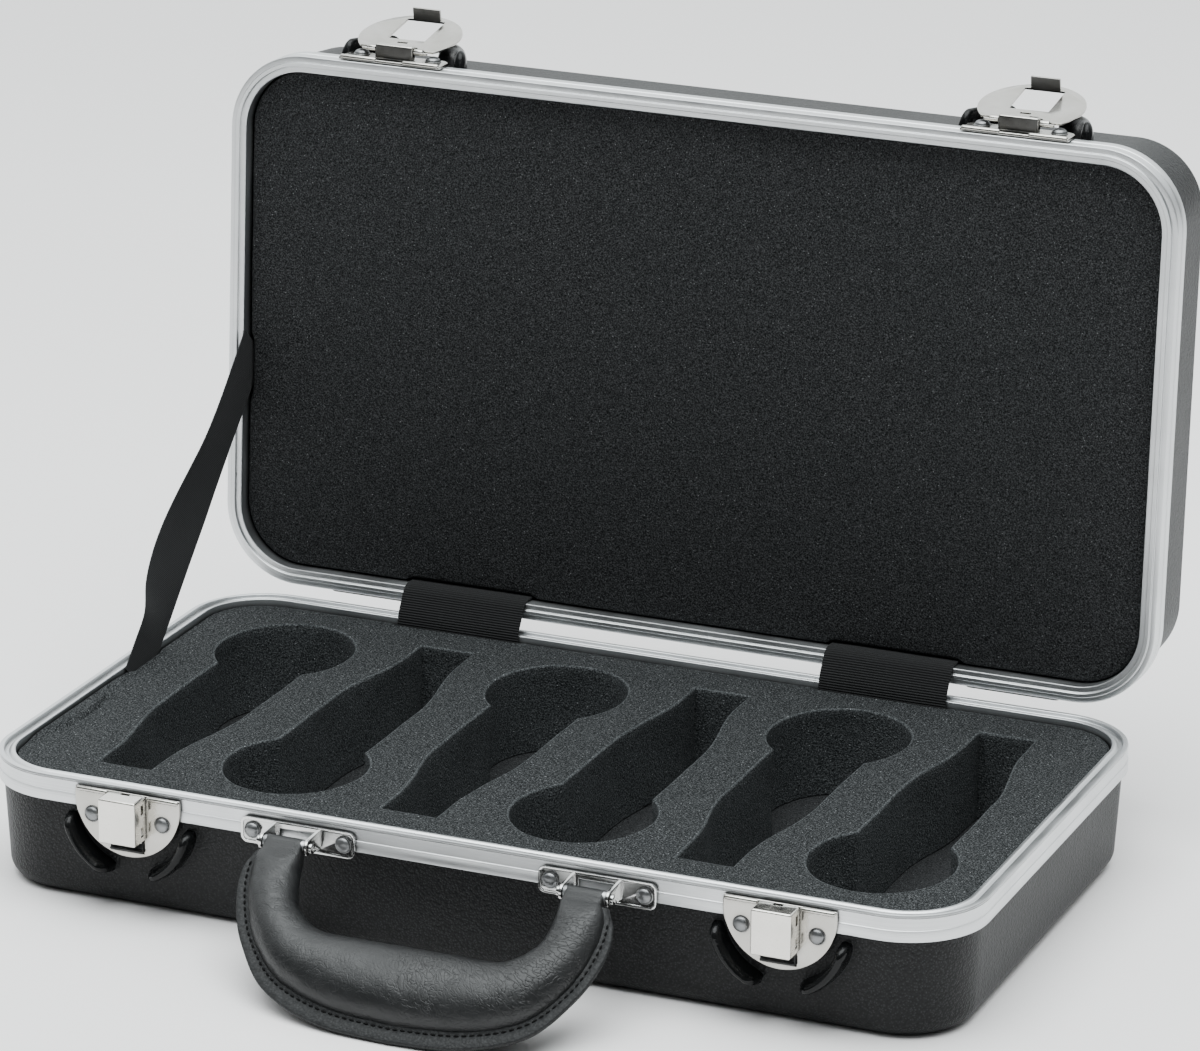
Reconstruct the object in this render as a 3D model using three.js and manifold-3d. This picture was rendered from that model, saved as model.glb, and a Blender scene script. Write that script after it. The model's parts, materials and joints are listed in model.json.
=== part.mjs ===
// Hard-shell microphone case, open on its stay strap: two moulded shells in aluminium frames,
// pocketed foam, two hasp latches with press-down catches, a swinging handle and two hinges.
// Millimetres, +Z up. The origin is the centre of the base's flat bottom, the front faces -Y.
import * as THREE from 'three';
import { mergeVertices } from 'three/addons/utils/BufferGeometryUtils.js';
import Module from 'manifold-3d';

const wasm = await Module();
wasm.setup();

// Case body
const caseWidth = 450;
const caseDepth = 249;
const halfHeight = 57;
const cornerRadius = 36;
const openAngle = 93;
const rimGap = 0.3;
const seatGap = 0.3;
const overrun = 4;
const cornerSteps = 8;

// Aluminium frame section
const bandHeight = 12;
const bandWall = 1.5;
const rimWidth = 7.5;
const rimWeb = 2.6;
const innerLegHeight = 7.4;
const innerLegWall = 1;
const edgeBreak = 0.8;
const bandGrooveDepth = 0.5;
const bandGrooveWidth = 1.1;
const bandGroovePlace = 7;
const sealGrooveWidth = 2.8;
const sealGrooveDepth = 1.6;
const sealGroovePlace = 3.8;
const tongueWidth = 1.8;
const tongueHeight = 1.1;
const innerLipSink = 0.6;

// Moulded shells
const shellWall = 2.8;
const shellDraft = 2.6;
const bottomRadius = 8.5;
const bottomSteps = 4;
const guardCentreDrop = 12;
const guardRadius = 28.5;
const guardWidth = 6;
const guardProud = 6;
const guardRound = 1.7;
const guardStartAngle = 8;
const guardEndAngle = 72;
const footLength = 46;
const footHeight = 24;
const footPlaceShare = 0.693;
const footDrop = 14;
const footProud = 5.6;
const footRound = 2.4;

// Foam lining
const baseFoamRecess = 3.4;
const lidFoamRecess = 6;
const foamClearance = 0.4;
const notchClearance = 4.3;
const floorPadThickness = 10;
const pocketCount = 6;
const pocketEndMargin = 24;
const pocketRowShift = 2;
const pocketEndWall = 28.25;
const pocketHeadShift = 2;
const headHalfWidth = 31;
const headHalfLength = 34.5;
const bodyHalfWidth = 20.5;
const tailHalfWidth = 12.6;
const taperStart = 76;
const taperEnd = 16;
const taperSteps = 5;
const headSteps = 16;

// Hinges with their webbing covers
const hingePlaceShare = 0.458;
const hingeBack = 2.2;
const hingeRise = 2.5;
const hingeLeafLength = 50;
const hingeLeafHeight = 8;
const hingeLeafWall = 1;
const knuckleRadius = 1.9;
const knuckleLength = 16;
const hingePinRadius = 0.9;
const pinClearance = 0.2;
const coverWidth = 60;
const webbingWall = 1.2;
const webbingTuck = 16;

// Lid stay strap
const strapPlace = 25;
const strapWidth = 25;
const strapWall = 1;
const strapTuck = 14;
const strapTwistAngles = [0, 1, 12, 17, 17, 13, 7, 2, 0, 0, 0];
const strapSwayShares = [0, 0.01, 0.1, 0.14, 0.14, 0.11, 0.07, 0.03, 0.01, 0, 0];
const strapSteps = 15;

// Latches
const latchPlaceShare = 0.658;
const plateWall = 1.2;
const plateRadius = 24.9;
const plateCentreDrop = 6.5;
const plateTopDrop = 2.2;
const beadRadius = 0.9;
const beadGapHalf = 6.3;
const latchRivetSpread = 16.5;
const latchRivetDrop = 14;
const buttonWidth = 17.6;
const buttonHeight = 20.7;
const buttonProud = 8;
const buttonWall = 0.9;
const buttonTravel = 1.8;
const guideSlotHeight = 3.4;
const guideSlotWidth = 0.9;
const catchSlotWidth = 15.4;
const catchSlotHeight = 4.2;
const catchSlotDrop = 24.4;
const catchWall = 0.8;
const catchBarHeight = 1.5;
const springWire = 0.7;

// Hasps
const haspRadius = 23.7;
const haspCentreDrop = 6.6;
const haspWall = 1;
const haspOpenAngle = 168;
const haspAxisRise = 9.7;
const haspAxisProud = 5.5;
const haspKnuckleRadius = 1.5;
const haspKnuckleLength = 4;
const haspPinRadius = 0.8;
const windowClearance = 0.4;
const tabWidth = 13.5;
const tabHeight = 6;
const housingWidth = 18.4;
const housingDepth = 4.4;
const housingProud = 8;
const housingWall = 1;
const housingFront = 2.5;
const haspPlateDepth = 14.5;
const haspPlateRound = 4.5;
const haspRivetSpread = 17.5;
const haspRivetDrop = 12;
const springSlotWidth = 5;
const springSlotHeight = 1.8;
const springCoilRadius = 1.5;

// Rivets
const rivetHeadRadius = 3.75;
const rivetHeadHeight = 2.2;
const rivetShankRadius = 1.7;
const rivetClenchRadius = 2.6;
const rivetClenchHeight = 0.9;
const rivetClearance = 0.3;
const rivetSides = 12;

// Handle
const handlePlace = 68;
const handleDrop = 7.7;
const handleAxisProud = 13.5;
const handleRestAngle = 34.8;
const bracketDrop = 9;
const bracketWidth = 52.5;
const bracketHeight = 11.6;
const bracketRound = 3;
const bracketRimWidth = 1.1;
const bracketRimHeight = 0.5;
const bracketRivetSpread = 21;
const earSpacing = 19.4;
const earWall = 1.2;
const earRadius = 3.5;
const earTopShare = 0.93;
const earBottomShare = 0.55;
const handlePinRadius = 1.4;
const handlePinHeadRadius = 2.2;
const eyeRadius = 2.9;
const tangLength = 17;
const tangThickness = 3;
const tangWidth = 10;
const handleReach = 85;
const gripHalfWidth = 82;
const gripHalfThickness = 12;
const flangeWidth = 8.2;
const flangeThickness = 2.4;
const gripLeanShare = 0.13;
const gripSides = 14;
const gripStations = 12;

const halfWidth = caseWidth / 2;
const halfDepth = caseDepth / 2;
const latchPlace = latchPlaceShare * halfWidth;
const hingePlace = hingePlaceShare * halfWidth;
const footPlace = footPlaceShare * halfWidth;
const pocketPitch = (caseWidth - 2 * pocketEndMargin) / pocketCount;
const pocketLength = caseDepth - 2 * pocketEndWall;
const hingeY = halfDepth + hingeBack;
const hingeZ = halfHeight + hingeRise;
const shellInset = bandWall + seatGap;
const degrees = Math.PI / 180;

// Solid helpers

function solidOf(geometry) {
  let merged = geometry.clone();
  for (const name of Object.keys(merged.attributes)) {
    if (name !== 'position') merged.deleteAttribute(name);
  }
  merged = mergeVertices(merged, 1e-4);
  const position = merged.attributes.position;
  const faces = [];
  let volume = 0;
  const a = new THREE.Vector3();
  const b = new THREE.Vector3();
  const c = new THREE.Vector3();
  for (let i = 0; i < merged.index.count; i += 3) {
    const face = [merged.index.getX(i), merged.index.getX(i + 1), merged.index.getX(i + 2)];
    if (face[0] === face[1] || face[1] === face[2] || face[0] === face[2]) continue;
    a.fromBufferAttribute(position, face[0]);
    b.fromBufferAttribute(position, face[1]);
    c.fromBufferAttribute(position, face[2]);
    volume += a.dot(b.cross(c));
    faces.push(face);
  }
  const triVerts = new Uint32Array(faces.flatMap((f) => (volume < 0 ? [f[0], f[2], f[1]] : f)));
  const vertProperties = new Float32Array(position.array);
  return new wasm.Manifold(new wasm.Mesh({ numProp: 3, vertProperties, triVerts }));
}

function geometryOf(solid) {
  const mesh = solid.getMesh();
  const geometry = new THREE.BufferGeometry();
  const points = new Float32Array(mesh.numVert * 3);
  for (let i = 0; i < mesh.numVert; i += 1) {
    for (let k = 0; k < 3; k += 1) {
      points[3 * i + k] = mesh.vertProperties[mesh.numProp * i + k];
    }
  }
  geometry.setAttribute('position', new THREE.BufferAttribute(points, 3));
  geometry.setIndex(new THREE.BufferAttribute(new Uint32Array(mesh.triVerts), 1));
  geometry.computeVertexNormals();
  return geometry;
}

function joined(first, ...others) {
  return others.reduce((sum, other) => sum.add(other), first);
}

function cut(first, ...others) {
  return others.reduce((rest, other) => rest.subtract(other), first);
}

// A rounded rectangle as corner stations: an inset moves each station along its own normal.
function roundedLoop(width, depth, radius, steps) {
  const stations = [];
  const corners = [[1, 1, 0], [-1, 1, 1], [-1, -1, 2], [1, -1, 3]];
  for (const [sideX, sideY, quarter] of corners) {
    for (let i = 0; i <= steps; i += 1) {
      const angle = (quarter + i / steps) * Math.PI / 2;
      stations.push({
        centreX: sideX * (width / 2 - radius),
        centreY: sideY * (depth / 2 - radius),
        normalX: Math.cos(angle),
        normalY: Math.sin(angle),
        radius,
      });
    }
  }
  return stations;
}

const caseLoop = roundedLoop(caseWidth, caseDepth, cornerRadius, cornerSteps);

function loopRing(inset, height) {
  return caseLoop.map((s) => new THREE.Vector3(
    s.centreX + s.normalX * (s.radius - inset),
    s.centreY + s.normalY * (s.radius - inset),
    height,
  ));
}

// Skin through rings of equal count, closed with flat caps or round into itself.
function loft(rings, ringClosed = false) {
  const count = rings[0].length;
  const points = rings.flat();
  const faces = [];
  const spans = ringClosed ? rings.length : rings.length - 1;
  for (let r = 0; r < spans; r += 1) {
    const here = r * count;
    const next = ((r + 1) % rings.length) * count;
    for (let i = 0; i < count; i += 1) {
      const j = (i + 1) % count;
      faces.push(here + i, here + j, next + j, here + i, next + j, next + i);
    }
  }
  if (!ringClosed) {
    const last = (rings.length - 1) * count;
    for (let i = 1; i < count - 1; i += 1) {
      faces.push(0, i + 1, i, last, last + i, last + i + 1);
    }
  }
  const geometry = new THREE.BufferGeometry().setFromPoints(points);
  geometry.setIndex(faces);
  return geometry;
}

function polygonShape(points) {
  return new THREE.Shape(points.map(([x, y]) => new THREE.Vector2(x, y)));
}

function extruded(shape, start, depth, options = {}) {
  const settings = { depth, bevelEnabled: false, curveSegments: 6, ...options };
  return new THREE.ExtrudeGeometry(shape, settings).translate(0, 0, start);
}

function block(lowX, highX, lowY, highY, lowZ, highZ) {
  return new THREE.BoxGeometry(highX - lowX, highY - lowY, highZ - lowZ)
    .translate((lowX + highX) / 2, (lowY + highY) / 2, (lowZ + highZ) / 2);
}

// A round bar along X.
function barX(radius, lowX, highX, y, z, sides = 16) {
  return new THREE.CylinderGeometry(radius, radius, highX - lowX, sides)
    .rotateZ(Math.PI / 2)
    .translate((lowX + highX) / 2, y, z);
}

// Half coordinates: x, y and the distance from the parting plane into that half's shell.
function halfMatrix(half) {
  const turn = half === 'lid' ? 1 : -1;
  return new THREE.Matrix4().set(1, 0, 0, 0, 0, 1, 0, 0, 0, 0, turn, halfHeight, 0, 0, 0, 1);
}

// Front wall coordinates: x, distance from the parting plane, distance proud of the band.
function wallMatrix(half) {
  const turn = half === 'lid' ? 1 : -1;
  return new THREE.Matrix4().set(
    1, 0, 0, 0,
    0, 0, -1, -halfDepth,
    0, turn, 0, halfHeight,
    0, 0, 0, 1,
  );
}

function placed(geometry, matrix) {
  return geometry.clone().applyMatrix4(matrix);
}

function addPiece(group, name, solid, finish) {
  const mesh = new THREE.Mesh(geometryOf(solid), new THREE.MeshStandardMaterial(finish));
  mesh.name = name;
  group.add(mesh);
  return mesh;
}

// Finishes read from the photograph
const shellFinish = { color: 0x202224, roughness: 0.55, metalness: 0 };
const aluminiumFinish = { color: 0xc9cdd0, roughness: 0.38, metalness: 0.9 };
const nickelFinish = { color: 0xcdcbc6, roughness: 0.25, metalness: 1 };
const chromeFinish = { color: 0xd2d2d0, roughness: 0.12, metalness: 1 };
const steelFinish = { color: 0x8f9193, roughness: 0.4, metalness: 1 };
const foamFinish = { color: 0x2c2f31, roughness: 1, metalness: 0 };
const webbingFinish = { color: 0x141516, roughness: 0.9, metalness: 0 };
const leatherFinish = { color: 0x1d1e20, roughness: 0.6, metalness: 0 };

// Frames: one channel section carried round the case, with a seal groove or its tongue.
function frameSection(half) {
  const face = rimGap / 2;
  const grooveTop = bandGroovePlace - bandGrooveWidth / 2;
  const grooveEnd = bandGroovePlace + bandGrooveWidth / 2;
  const outer = [
    [bandWall, bandHeight],
    [edgeBreak / 2, bandHeight],
    [0, bandHeight - edgeBreak / 2],
    [0, grooveEnd],
    [bandGrooveDepth, bandGroovePlace],
    [0, grooveTop],
    [0, face + edgeBreak],
    [edgeBreak, face],
  ];
  const halfGroove = sealGrooveWidth / 2;
  const halfTongue = tongueWidth / 2;
  const seal = half === 'lid'
    ? [
      [sealGroovePlace - halfTongue - tongueHeight / 4, face],
      [sealGroovePlace - halfTongue, face - tongueHeight],
      [sealGroovePlace + halfTongue, face - tongueHeight],
      [sealGroovePlace + halfTongue + tongueHeight / 4, face],
    ]
    : [
      [sealGroovePlace - halfGroove, face],
      [sealGroovePlace - halfGroove + sealGrooveDepth / 4, face + sealGrooveDepth],
      [sealGroovePlace + halfGroove - sealGrooveDepth / 4, face + sealGrooveDepth],
      [sealGroovePlace + halfGroove, face + innerLipSink],
    ];
  const lip = half === 'lid' ? face : face + innerLipSink;
  const inner = [
    [rimWidth - edgeBreak / 2, lip],
    [rimWidth, lip + edgeBreak / 2],
    [rimWidth, innerLegHeight],
    [rimWidth - innerLegWall, innerLegHeight],
    [rimWidth - innerLegWall, face + rimWeb],
    [bandWall, face + rimWeb],
  ];
  return [...outer, ...seal, ...inner];
}

function frameSolid(half) {
  const section = frameSection(half);
  const rings = caseLoop.map((s) => section.map(([inset, drop]) => new THREE.Vector3(
    s.centreX + s.normalX * (s.radius - inset),
    s.centreY + s.normalY * (s.radius - inset),
    drop,
  )));
  return solidOf(placed(loft(rings, true), halfMatrix(half)));
}

// Shells: a drafted tray with a rounded bottom edge, held in the frame's channel.
function trayBody(inset, wall, top) {
  const foot = inset + shellDraft;
  const radius = bottomRadius - wall;
  const rings = [loopRing(inset + wall, top)];
  for (let i = 0; i <= bottomSteps; i += 1) {
    const angle = (i / bottomSteps) * Math.PI / 2;
    rings.push(loopRing(
      foot + wall + radius * (1 - Math.cos(angle)),
      halfHeight - bottomRadius + radius * Math.sin(angle),
    ));
  }
  return loft(rings);
}

function guardShape(side) {
  const low = guardRadius - guardWidth / 2 + guardRound;
  const high = guardRadius + guardWidth / 2 - guardRound;
  const start = side < 0 ? 180 - guardEndAngle : guardStartAngle;
  const end = side < 0 ? 180 - guardStartAngle : guardEndAngle;
  const shape = new THREE.Shape();
  shape.absarc(0, 0, high, start * degrees, end * degrees, false);
  shape.absarc(0, 0, low, end * degrees, start * degrees, true);
  return shape;
}

function guardSolids(half) {
  const solids = [];
  const root = -shellInset - shellWall / 2;
  const depth = guardProud - shellInset - root - guardRound;
  const bevel = {
    bevelEnabled: true, bevelThickness: guardRound, bevelSize: guardRound, bevelSegments: 2, curveSegments: 7,
  };
  for (const place of [-latchPlace, latchPlace]) {
    for (const side of [-1, 1]) {
      const rib = extruded(guardShape(side), root, depth, bevel);
      rib.translate(place, guardCentreDrop, 0);
      solids.push(solidOf(placed(rib, wallMatrix(half))));
    }
  }
  return solids;
}

function roundedShape(width, height, radius) {
  const x = width / 2;
  const y = height / 2;
  const shape = new THREE.Shape();
  shape.absarc(x - radius, y - radius, radius, 0, Math.PI / 2, false);
  shape.absarc(radius - x, y - radius, radius, Math.PI / 2, Math.PI, false);
  shape.absarc(radius - x, radius - y, radius, Math.PI, Math.PI * 1.5, false);
  shape.absarc(x - radius, radius - y, radius, Math.PI * 1.5, Math.PI * 2, false);
  return shape;
}

function footSolids() {
  const outline = roundedShape(footLength - 2 * footRound, footHeight - 2 * footRound, footRound);
  const depth = footProud + shellInset + shellWall / 2 - footRound;
  const root = halfDepth - shellInset - shellWall / 2;
  const bevel = {
    bevelEnabled: true, bevelThickness: footRound, bevelSize: footRound, bevelSegments: 2, curveSegments: 2,
  };
  return [-footPlace, footPlace].map((place) => {
    const pad = extruded(outline, 0, depth, bevel);
    pad.rotateX(-Math.PI / 2).translate(place, root, footDrop + footHeight / 2);
    return pad;
  });
}

function shellSolid(half) {
  const outside = solidOf(placed(trayBody(shellInset, 0, lipDrop), halfMatrix(half)));
  const inside = solidOf(placed(trayBody(shellInset, shellWall, lipDrop - overrun), halfMatrix(half)));
  const feet = footSolids().map((pad) => solidOf(placed(pad, halfMatrix(half))));
  const outsideAll = joined(outside, ...guardSolids(half), ...feet);
  return cut(outsideAll, inside);
}

// Foam: a block whose outline follows the frame, recessed below the rim.
function foamBlock(inset, top, bottom, lowerInset) {
  const lower = bottom - (bottomRadius - shellWall);
  return loft([
    loopRing(inset, top),
    loopRing(inset, lower),
    loopRing(lowerInset, bottom),
  ]);
}

function pocketOutline() {
  const end = pocketLength / 2;
  const centre = end - headHalfLength;
  const neck = Math.asin(bodyHalfWidth / headHalfWidth);
  const points = [];
  for (let i = 0; i <= headSteps; i += 1) {
    const angle = -(Math.PI - neck) + (2 * (Math.PI - neck) * i) / headSteps;
    points.push([headHalfWidth * Math.sin(angle), centre + headHalfLength * Math.cos(angle)]);
  }
  const side = [];
  for (let i = 0; i <= taperSteps; i += 1) {
    const share = i / taperSteps;
    const ease = share * share * (3 - 2 * share);
    side.push([
      bodyHalfWidth + (tailHalfWidth - bodyHalfWidth) * ease,
      taperStart + (taperEnd - taperStart) * share - end,
    ]);
  }
  side.push([tailHalfWidth, -end]);
  const mirrored = side.slice().reverse().map(([x, y]) => [-x, y]);
  const outline = [...points, ...side, ...mirrored].reverse();
  return polygonShape(outline.map(([x, y]) => [x, y + pocketHeadShift]));
}

function pocketCentre(index) {
  return (index - (pocketCount - 1) / 2) * pocketPitch + pocketRowShift;
}

const foamInset = rimWidth + foamClearance;
const foamBottom = halfHeight - shellWall - seatGap;
const lowerFoamInset = shellInset + shellDraft + bottomRadius;
const strapX = -halfWidth + rimWidth + seatGap + strapWall / 2;
const webbingY = halfDepth - rimWidth - seatGap - webbingWall / 2;

// Shallow notches let the webbing and the strap lie between the foam and the frame.
function foamNotches(half) {
  const reach = webbingTuck + notchClearance;
  const low = webbingY - webbingWall / 2 - seatGap;
  const solids = [-hingePlace, hingePlace].map((place) => block(
    place - coverWidth / 2 - seatGap, place + coverWidth / 2 + seatGap,
    low, halfDepth, -overrun, reach,
  ));
  solids.push(block(
    -halfWidth, strapX + strapWall / 2 + seatGap,
    strapPlace - strapWidth, strapPlace + strapWidth, -overrun, reach,
  ));
  return solids.map((notch) => solidOf(placed(notch, halfMatrix(half))));
}

function pocketFoamSolid() {
  const top = baseFoamRecess;
  const bottom = foamBottom - floorPadThickness - seatGap;
  const slab = loft([loopRing(foamInset, top), loopRing(foamInset, bottom)]);
  const body = solidOf(placed(slab, halfMatrix('base')));
  const pockets = [];
  for (let i = 0; i < pocketCount; i += 1) {
    const pocket = extruded(pocketOutline(), 0, bottom + overrun);
    if (i % 2 === 1) pocket.rotateZ(Math.PI);
    pocket.translate(pocketCentre(i), 0, 0);
    pockets.push(solidOf(placed(pocket, halfMatrix('base'))));
  }
  return cut(body, ...pockets, ...foamNotches('base'));
}

function floorPadSolid() {
  const top = foamBottom - floorPadThickness;
  return solidOf(placed(foamBlock(foamInset, top, foamBottom, lowerFoamInset), halfMatrix('base')));
}

function lidFoamSolid() {
  const slab = foamBlock(foamInset, lidFoamRecess, foamBottom, lowerFoamInset);
  const body = solidOf(placed(slab, halfMatrix('lid')));
  return cut(body, ...foamNotches('lid'));
}

// Rivet: domed head outside, shank through the stack, clenched inside.
function rivetGeometry(headSeat, stack) {
  const profile = [new THREE.Vector2(0, headSeat + rivetHeadHeight)];
  for (let i = 3; i >= 0; i -= 1) {
    const angle = (i / 4) * Math.PI / 2;
    profile.push(new THREE.Vector2(
      rivetHeadRadius * Math.cos(angle),
      headSeat + rivetHeadHeight * Math.sin(angle),
    ));
  }
  profile.push(new THREE.Vector2(rivetShankRadius, headSeat));
  profile.push(new THREE.Vector2(rivetShankRadius, headSeat - stack));
  profile.push(new THREE.Vector2(rivetClenchRadius, headSeat - stack));
  profile.push(new THREE.Vector2(rivetClenchRadius, headSeat - stack - rivetClenchHeight));
  profile.push(new THREE.Vector2(0, headSeat - stack - rivetClenchHeight));
  return new THREE.LatheGeometry(profile, rivetSides).rotateX(Math.PI / 2);
}

const plateTop = seatGap + plateWall;
const rivetHeadSeat = plateTop + seatGap;
const lipDrop = rimGap / 2 + rimWeb + seatGap;

// How far the drafted wall's inner face lies behind the band at a drop below the parting plane.
function wallDepth(drop) {
  const share = (drop - lipDrop) / (halfHeight - bottomRadius - lipDrop);
  return shellInset + shellDraft * share + shellWall;
}

function rivetHole(x, drop, half) {
  const hole = new THREE.CylinderGeometry(
    rivetShankRadius + rivetClearance, rivetShankRadius + rivetClearance, 6 * overrun, rivetSides,
  ).rotateX(Math.PI / 2).translate(x, drop, 0);
  return solidOf(placed(hole, wallMatrix(half)));
}

function rivetSolid(x, drop, half) {
  const stack = rivetHeadSeat + wallDepth(drop + rivetClenchRadius) + seatGap;
  const rivet = rivetGeometry(rivetHeadSeat, stack).translate(x, drop, 0);
  return solidOf(placed(rivet, wallMatrix(half)));
}

const latchSides = [['left', -1], ['right', 1]];

function rivetPlaces(half) {
  const places = [];
  for (const [sideName, side] of latchSides) {
    for (const [endName, end] of [['outer', side], ['inner', -side]]) {
      if (half === 'base') {
        places.push([`latch_rivet_${sideName}_${endName}`, side * latchPlace + end * latchRivetSpread,
          latchRivetDrop, nickelFinish]);
        places.push([`bracket_rivet_${sideName}_${endName}`, side * handlePlace + end * bracketRivetSpread,
          bracketDrop, chromeFinish]);
      } else {
        places.push([`hasp_rivet_${sideName}_${endName}`, side * latchPlace + end * haspRivetSpread,
          haspRivetDrop, nickelFinish]);
      }
    }
  }
  return places;
}

// Base half of a latch: plate with rolled edge and catch slot, folded button and catch slide.
function latchPlateSolid(place) {
  const shape = new THREE.Shape();
  const rise = plateCentreDrop - plateTopDrop;
  const start = Math.asin(rise / plateRadius);
  shape.absarc(0, plateCentreDrop, plateRadius, -start, Math.PI + start, false);
  const plate = extruded(shape, seatGap, plateWall, { curveSegments: 28 });
  const solids = [solidOf(plate.translate(place, 0, 0))];
  const reach = plateRadius * Math.cos(start) - beadRadius;
  const clear = buttonWidth / 2 + seatGap;
  for (const side of [-1, 1]) {
    const low = Math.min(side * clear, side * reach);
    const high = Math.max(side * clear, side * reach);
    const bead = barX(beadRadius, place + low, place + high, plateTopDrop + beadRadius, plateTop, 8);
    solids.push(solidOf(bead));
  }
  const slot = block(
    place - catchSlotWidth / 2, place + catchSlotWidth / 2,
    catchSlotDrop, catchSlotDrop + catchSlotHeight, -overrun, overrun,
  );
  const plain = cut(joined(...solids), solidOf(slot));
  return intoWall(plain, 'base');
}

function intoWall(solid, half) {
  return solidOf(placed(geometryOf(solid), wallMatrix(half)));
}

const buttonBack = plateTop + seatGap;
const buttonDropEnd = plateTopDrop + buttonHeight;
const haspWindowEnd = buttonDropEnd + buttonTravel + windowClearance;

function buttonSolid(place) {
  const halfButton = buttonWidth / 2;
  const body = solidOf(block(
    place - halfButton, place + halfButton, plateTopDrop, buttonDropEnd, buttonBack, buttonProud,
  ));
  const hollow = solidOf(block(
    place - halfButton + buttonWall, place + halfButton - buttonWall,
    plateTopDrop + buttonWall, buttonDropEnd + overrun, buttonBack - overrun, buttonProud - buttonWall,
  ));
  const slots = [1 / 4, 3 / 4].map((share) => {
    const middle = plateTopDrop + buttonHeight * share;
    return solidOf(block(
      place - buttonWidth, place + buttonWidth,
      middle - guideSlotHeight / 2, middle + guideSlotHeight / 2,
      buttonBack + guideSlotWidth, buttonBack + 2 * guideSlotWidth,
    ));
  });
  return intoWall(cut(body, hollow, ...slots), 'base');
}

// The catch slide hangs inside the button and carries the bar that lies below the hasp's tab.
function catchSolid(place) {
  const halfSlide = buttonWidth / 2 - buttonWall - seatGap;
  const top = plateTopDrop + buttonWall + seatGap;
  const legInner = tabWidth / 2 + seatGap;
  const barTop = haspWindowEnd + haspWall + seatGap;
  const low = buttonBack;
  const high = buttonBack + catchWall;
  const crown = block(place - halfSlide, place + halfSlide, top, top + 2 * catchBarHeight, low, high);
  const bar = polygonShape([
    [barTop, low],
    [barTop + catchBarHeight, low],
    [barTop + catchBarHeight, high + catchWall],
    [barTop + catchBarHeight / 2, high + catchWall],
  ]);
  const bevel = extruded(bar, 0, 2 * halfSlide);
  bevel.applyMatrix4(new THREE.Matrix4().set(
    0, 0, 1, place - halfSlide, 1, 0, 0, 0, 0, 1, 0, 0, 0, 0, 0, 1,
  ));
  const legs = [-1, 1].map((side) => {
    const inner = place + side * legInner;
    const outer = place + side * halfSlide;
    return solidOf(block(
      Math.min(inner, outer), Math.max(inner, outer), top, barTop + catchBarHeight, low, high,
    ));
  });
  return intoWall(joined(solidOf(crown), solidOf(bevel), ...legs), 'base');
}

// Leaf spring under the button's roof: it pushes the button and its slide back up.
function latchSpringSolid(place) {
  const top = plateTopDrop + buttonWall + 4 * catchBarHeight;
  const reach = buttonWidth / 2 - 2 * buttonWall - seatGap;
  const rise = buttonHeight / 6;
  const outline = [];
  for (const [share, height] of [[-1, 0], [-0.5, 0.8], [0, 1], [0.5, 0.8], [1, 0]]) {
    outline.push([place + share * reach, top + rise * (1 - height)]);
  }
  const lower = outline.slice().reverse().map(([x, y]) => [x, y + springWire]);
  const strip = extruded(
    polygonShape([...outline, ...lower]), buttonBack + catchWall + seatGap, 3 * springWire,
  );
  return intoWall(solidOf(strip), 'base');
}

// Lid half of a latch: plate with rolled edge and spring housing, pin, spring and round hasp.
const haspAxisY = -halfDepth - haspAxisProud;
const haspAxisZ = halfHeight + haspAxisRise;

function haspPlateSolid(place) {
  const half = plateRadius * Math.cos(Math.asin((plateCentreDrop - plateTopDrop) / plateRadius));
  const end = plateTopDrop + haspPlateDepth;
  const shape = new THREE.Shape();
  shape.moveTo(-half, plateTopDrop);
  shape.lineTo(half, plateTopDrop);
  shape.absarc(half - haspPlateRound, end - haspPlateRound, haspPlateRound, 0, Math.PI / 2, false);
  shape.absarc(haspPlateRound - half, end - haspPlateRound, haspPlateRound, Math.PI / 2, Math.PI, false);
  const solids = [solidOf(extruded(shape, seatGap, plateWall).translate(place, 0, 0))];
  for (const side of [-1, 1]) {
    const low = Math.min(side * beadGapHalf, side * (half - beadRadius));
    const high = Math.max(side * beadGapHalf, side * (half - beadRadius));
    const bead = barX(beadRadius, place + low, place + high, plateTopDrop + beadRadius, plateTop, 8);
    solids.push(solidOf(bead));
  }
  const front = haspAxisRise - housingFront;
  const housing = block(
    place - housingWidth / 2, place + housingWidth / 2, front, front + housingDepth,
    seatGap, housingProud,
  );
  const hollow = block(
    place - housingWidth / 2 + housingWall, place + housingWidth / 2 - housingWall,
    front + housingWall, front + housingDepth + overrun, plateTop, housingProud - housingWall,
  );
  const bore = barX(
    haspPinRadius + pinClearance, place - housingWidth, place + housingWidth, haspAxisRise, haspAxisProud, 12,
  );
  const solid = cut(joined(...solids, solidOf(housing)), solidOf(hollow), solidOf(bore));
  return intoWall(solid, 'lid');
}

const knuckleStart = housingWidth / 2 + seatGap;

function haspPinSolid(place) {
  const reach = knuckleStart + haspKnuckleLength;
  const pin = barX(haspPinRadius, place - reach, place + reach, haspAxisRise, haspAxisProud, 12);
  return intoWall(solidOf(pin), 'lid');
}

function haspSpringSolid(place) {
  const reach = housingWidth / 2 - housingWall - seatGap;
  const coil = barX(springCoilRadius, place - reach, place + reach, haspAxisRise, haspAxisProud, 12);
  const bore = barX(
    haspPinRadius + pinClearance, place - housingWidth, place + housingWidth, haspAxisRise, haspAxisProud, 12,
  );
  return intoWall(cut(solidOf(coil), solidOf(bore)), 'lid');
}

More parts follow.
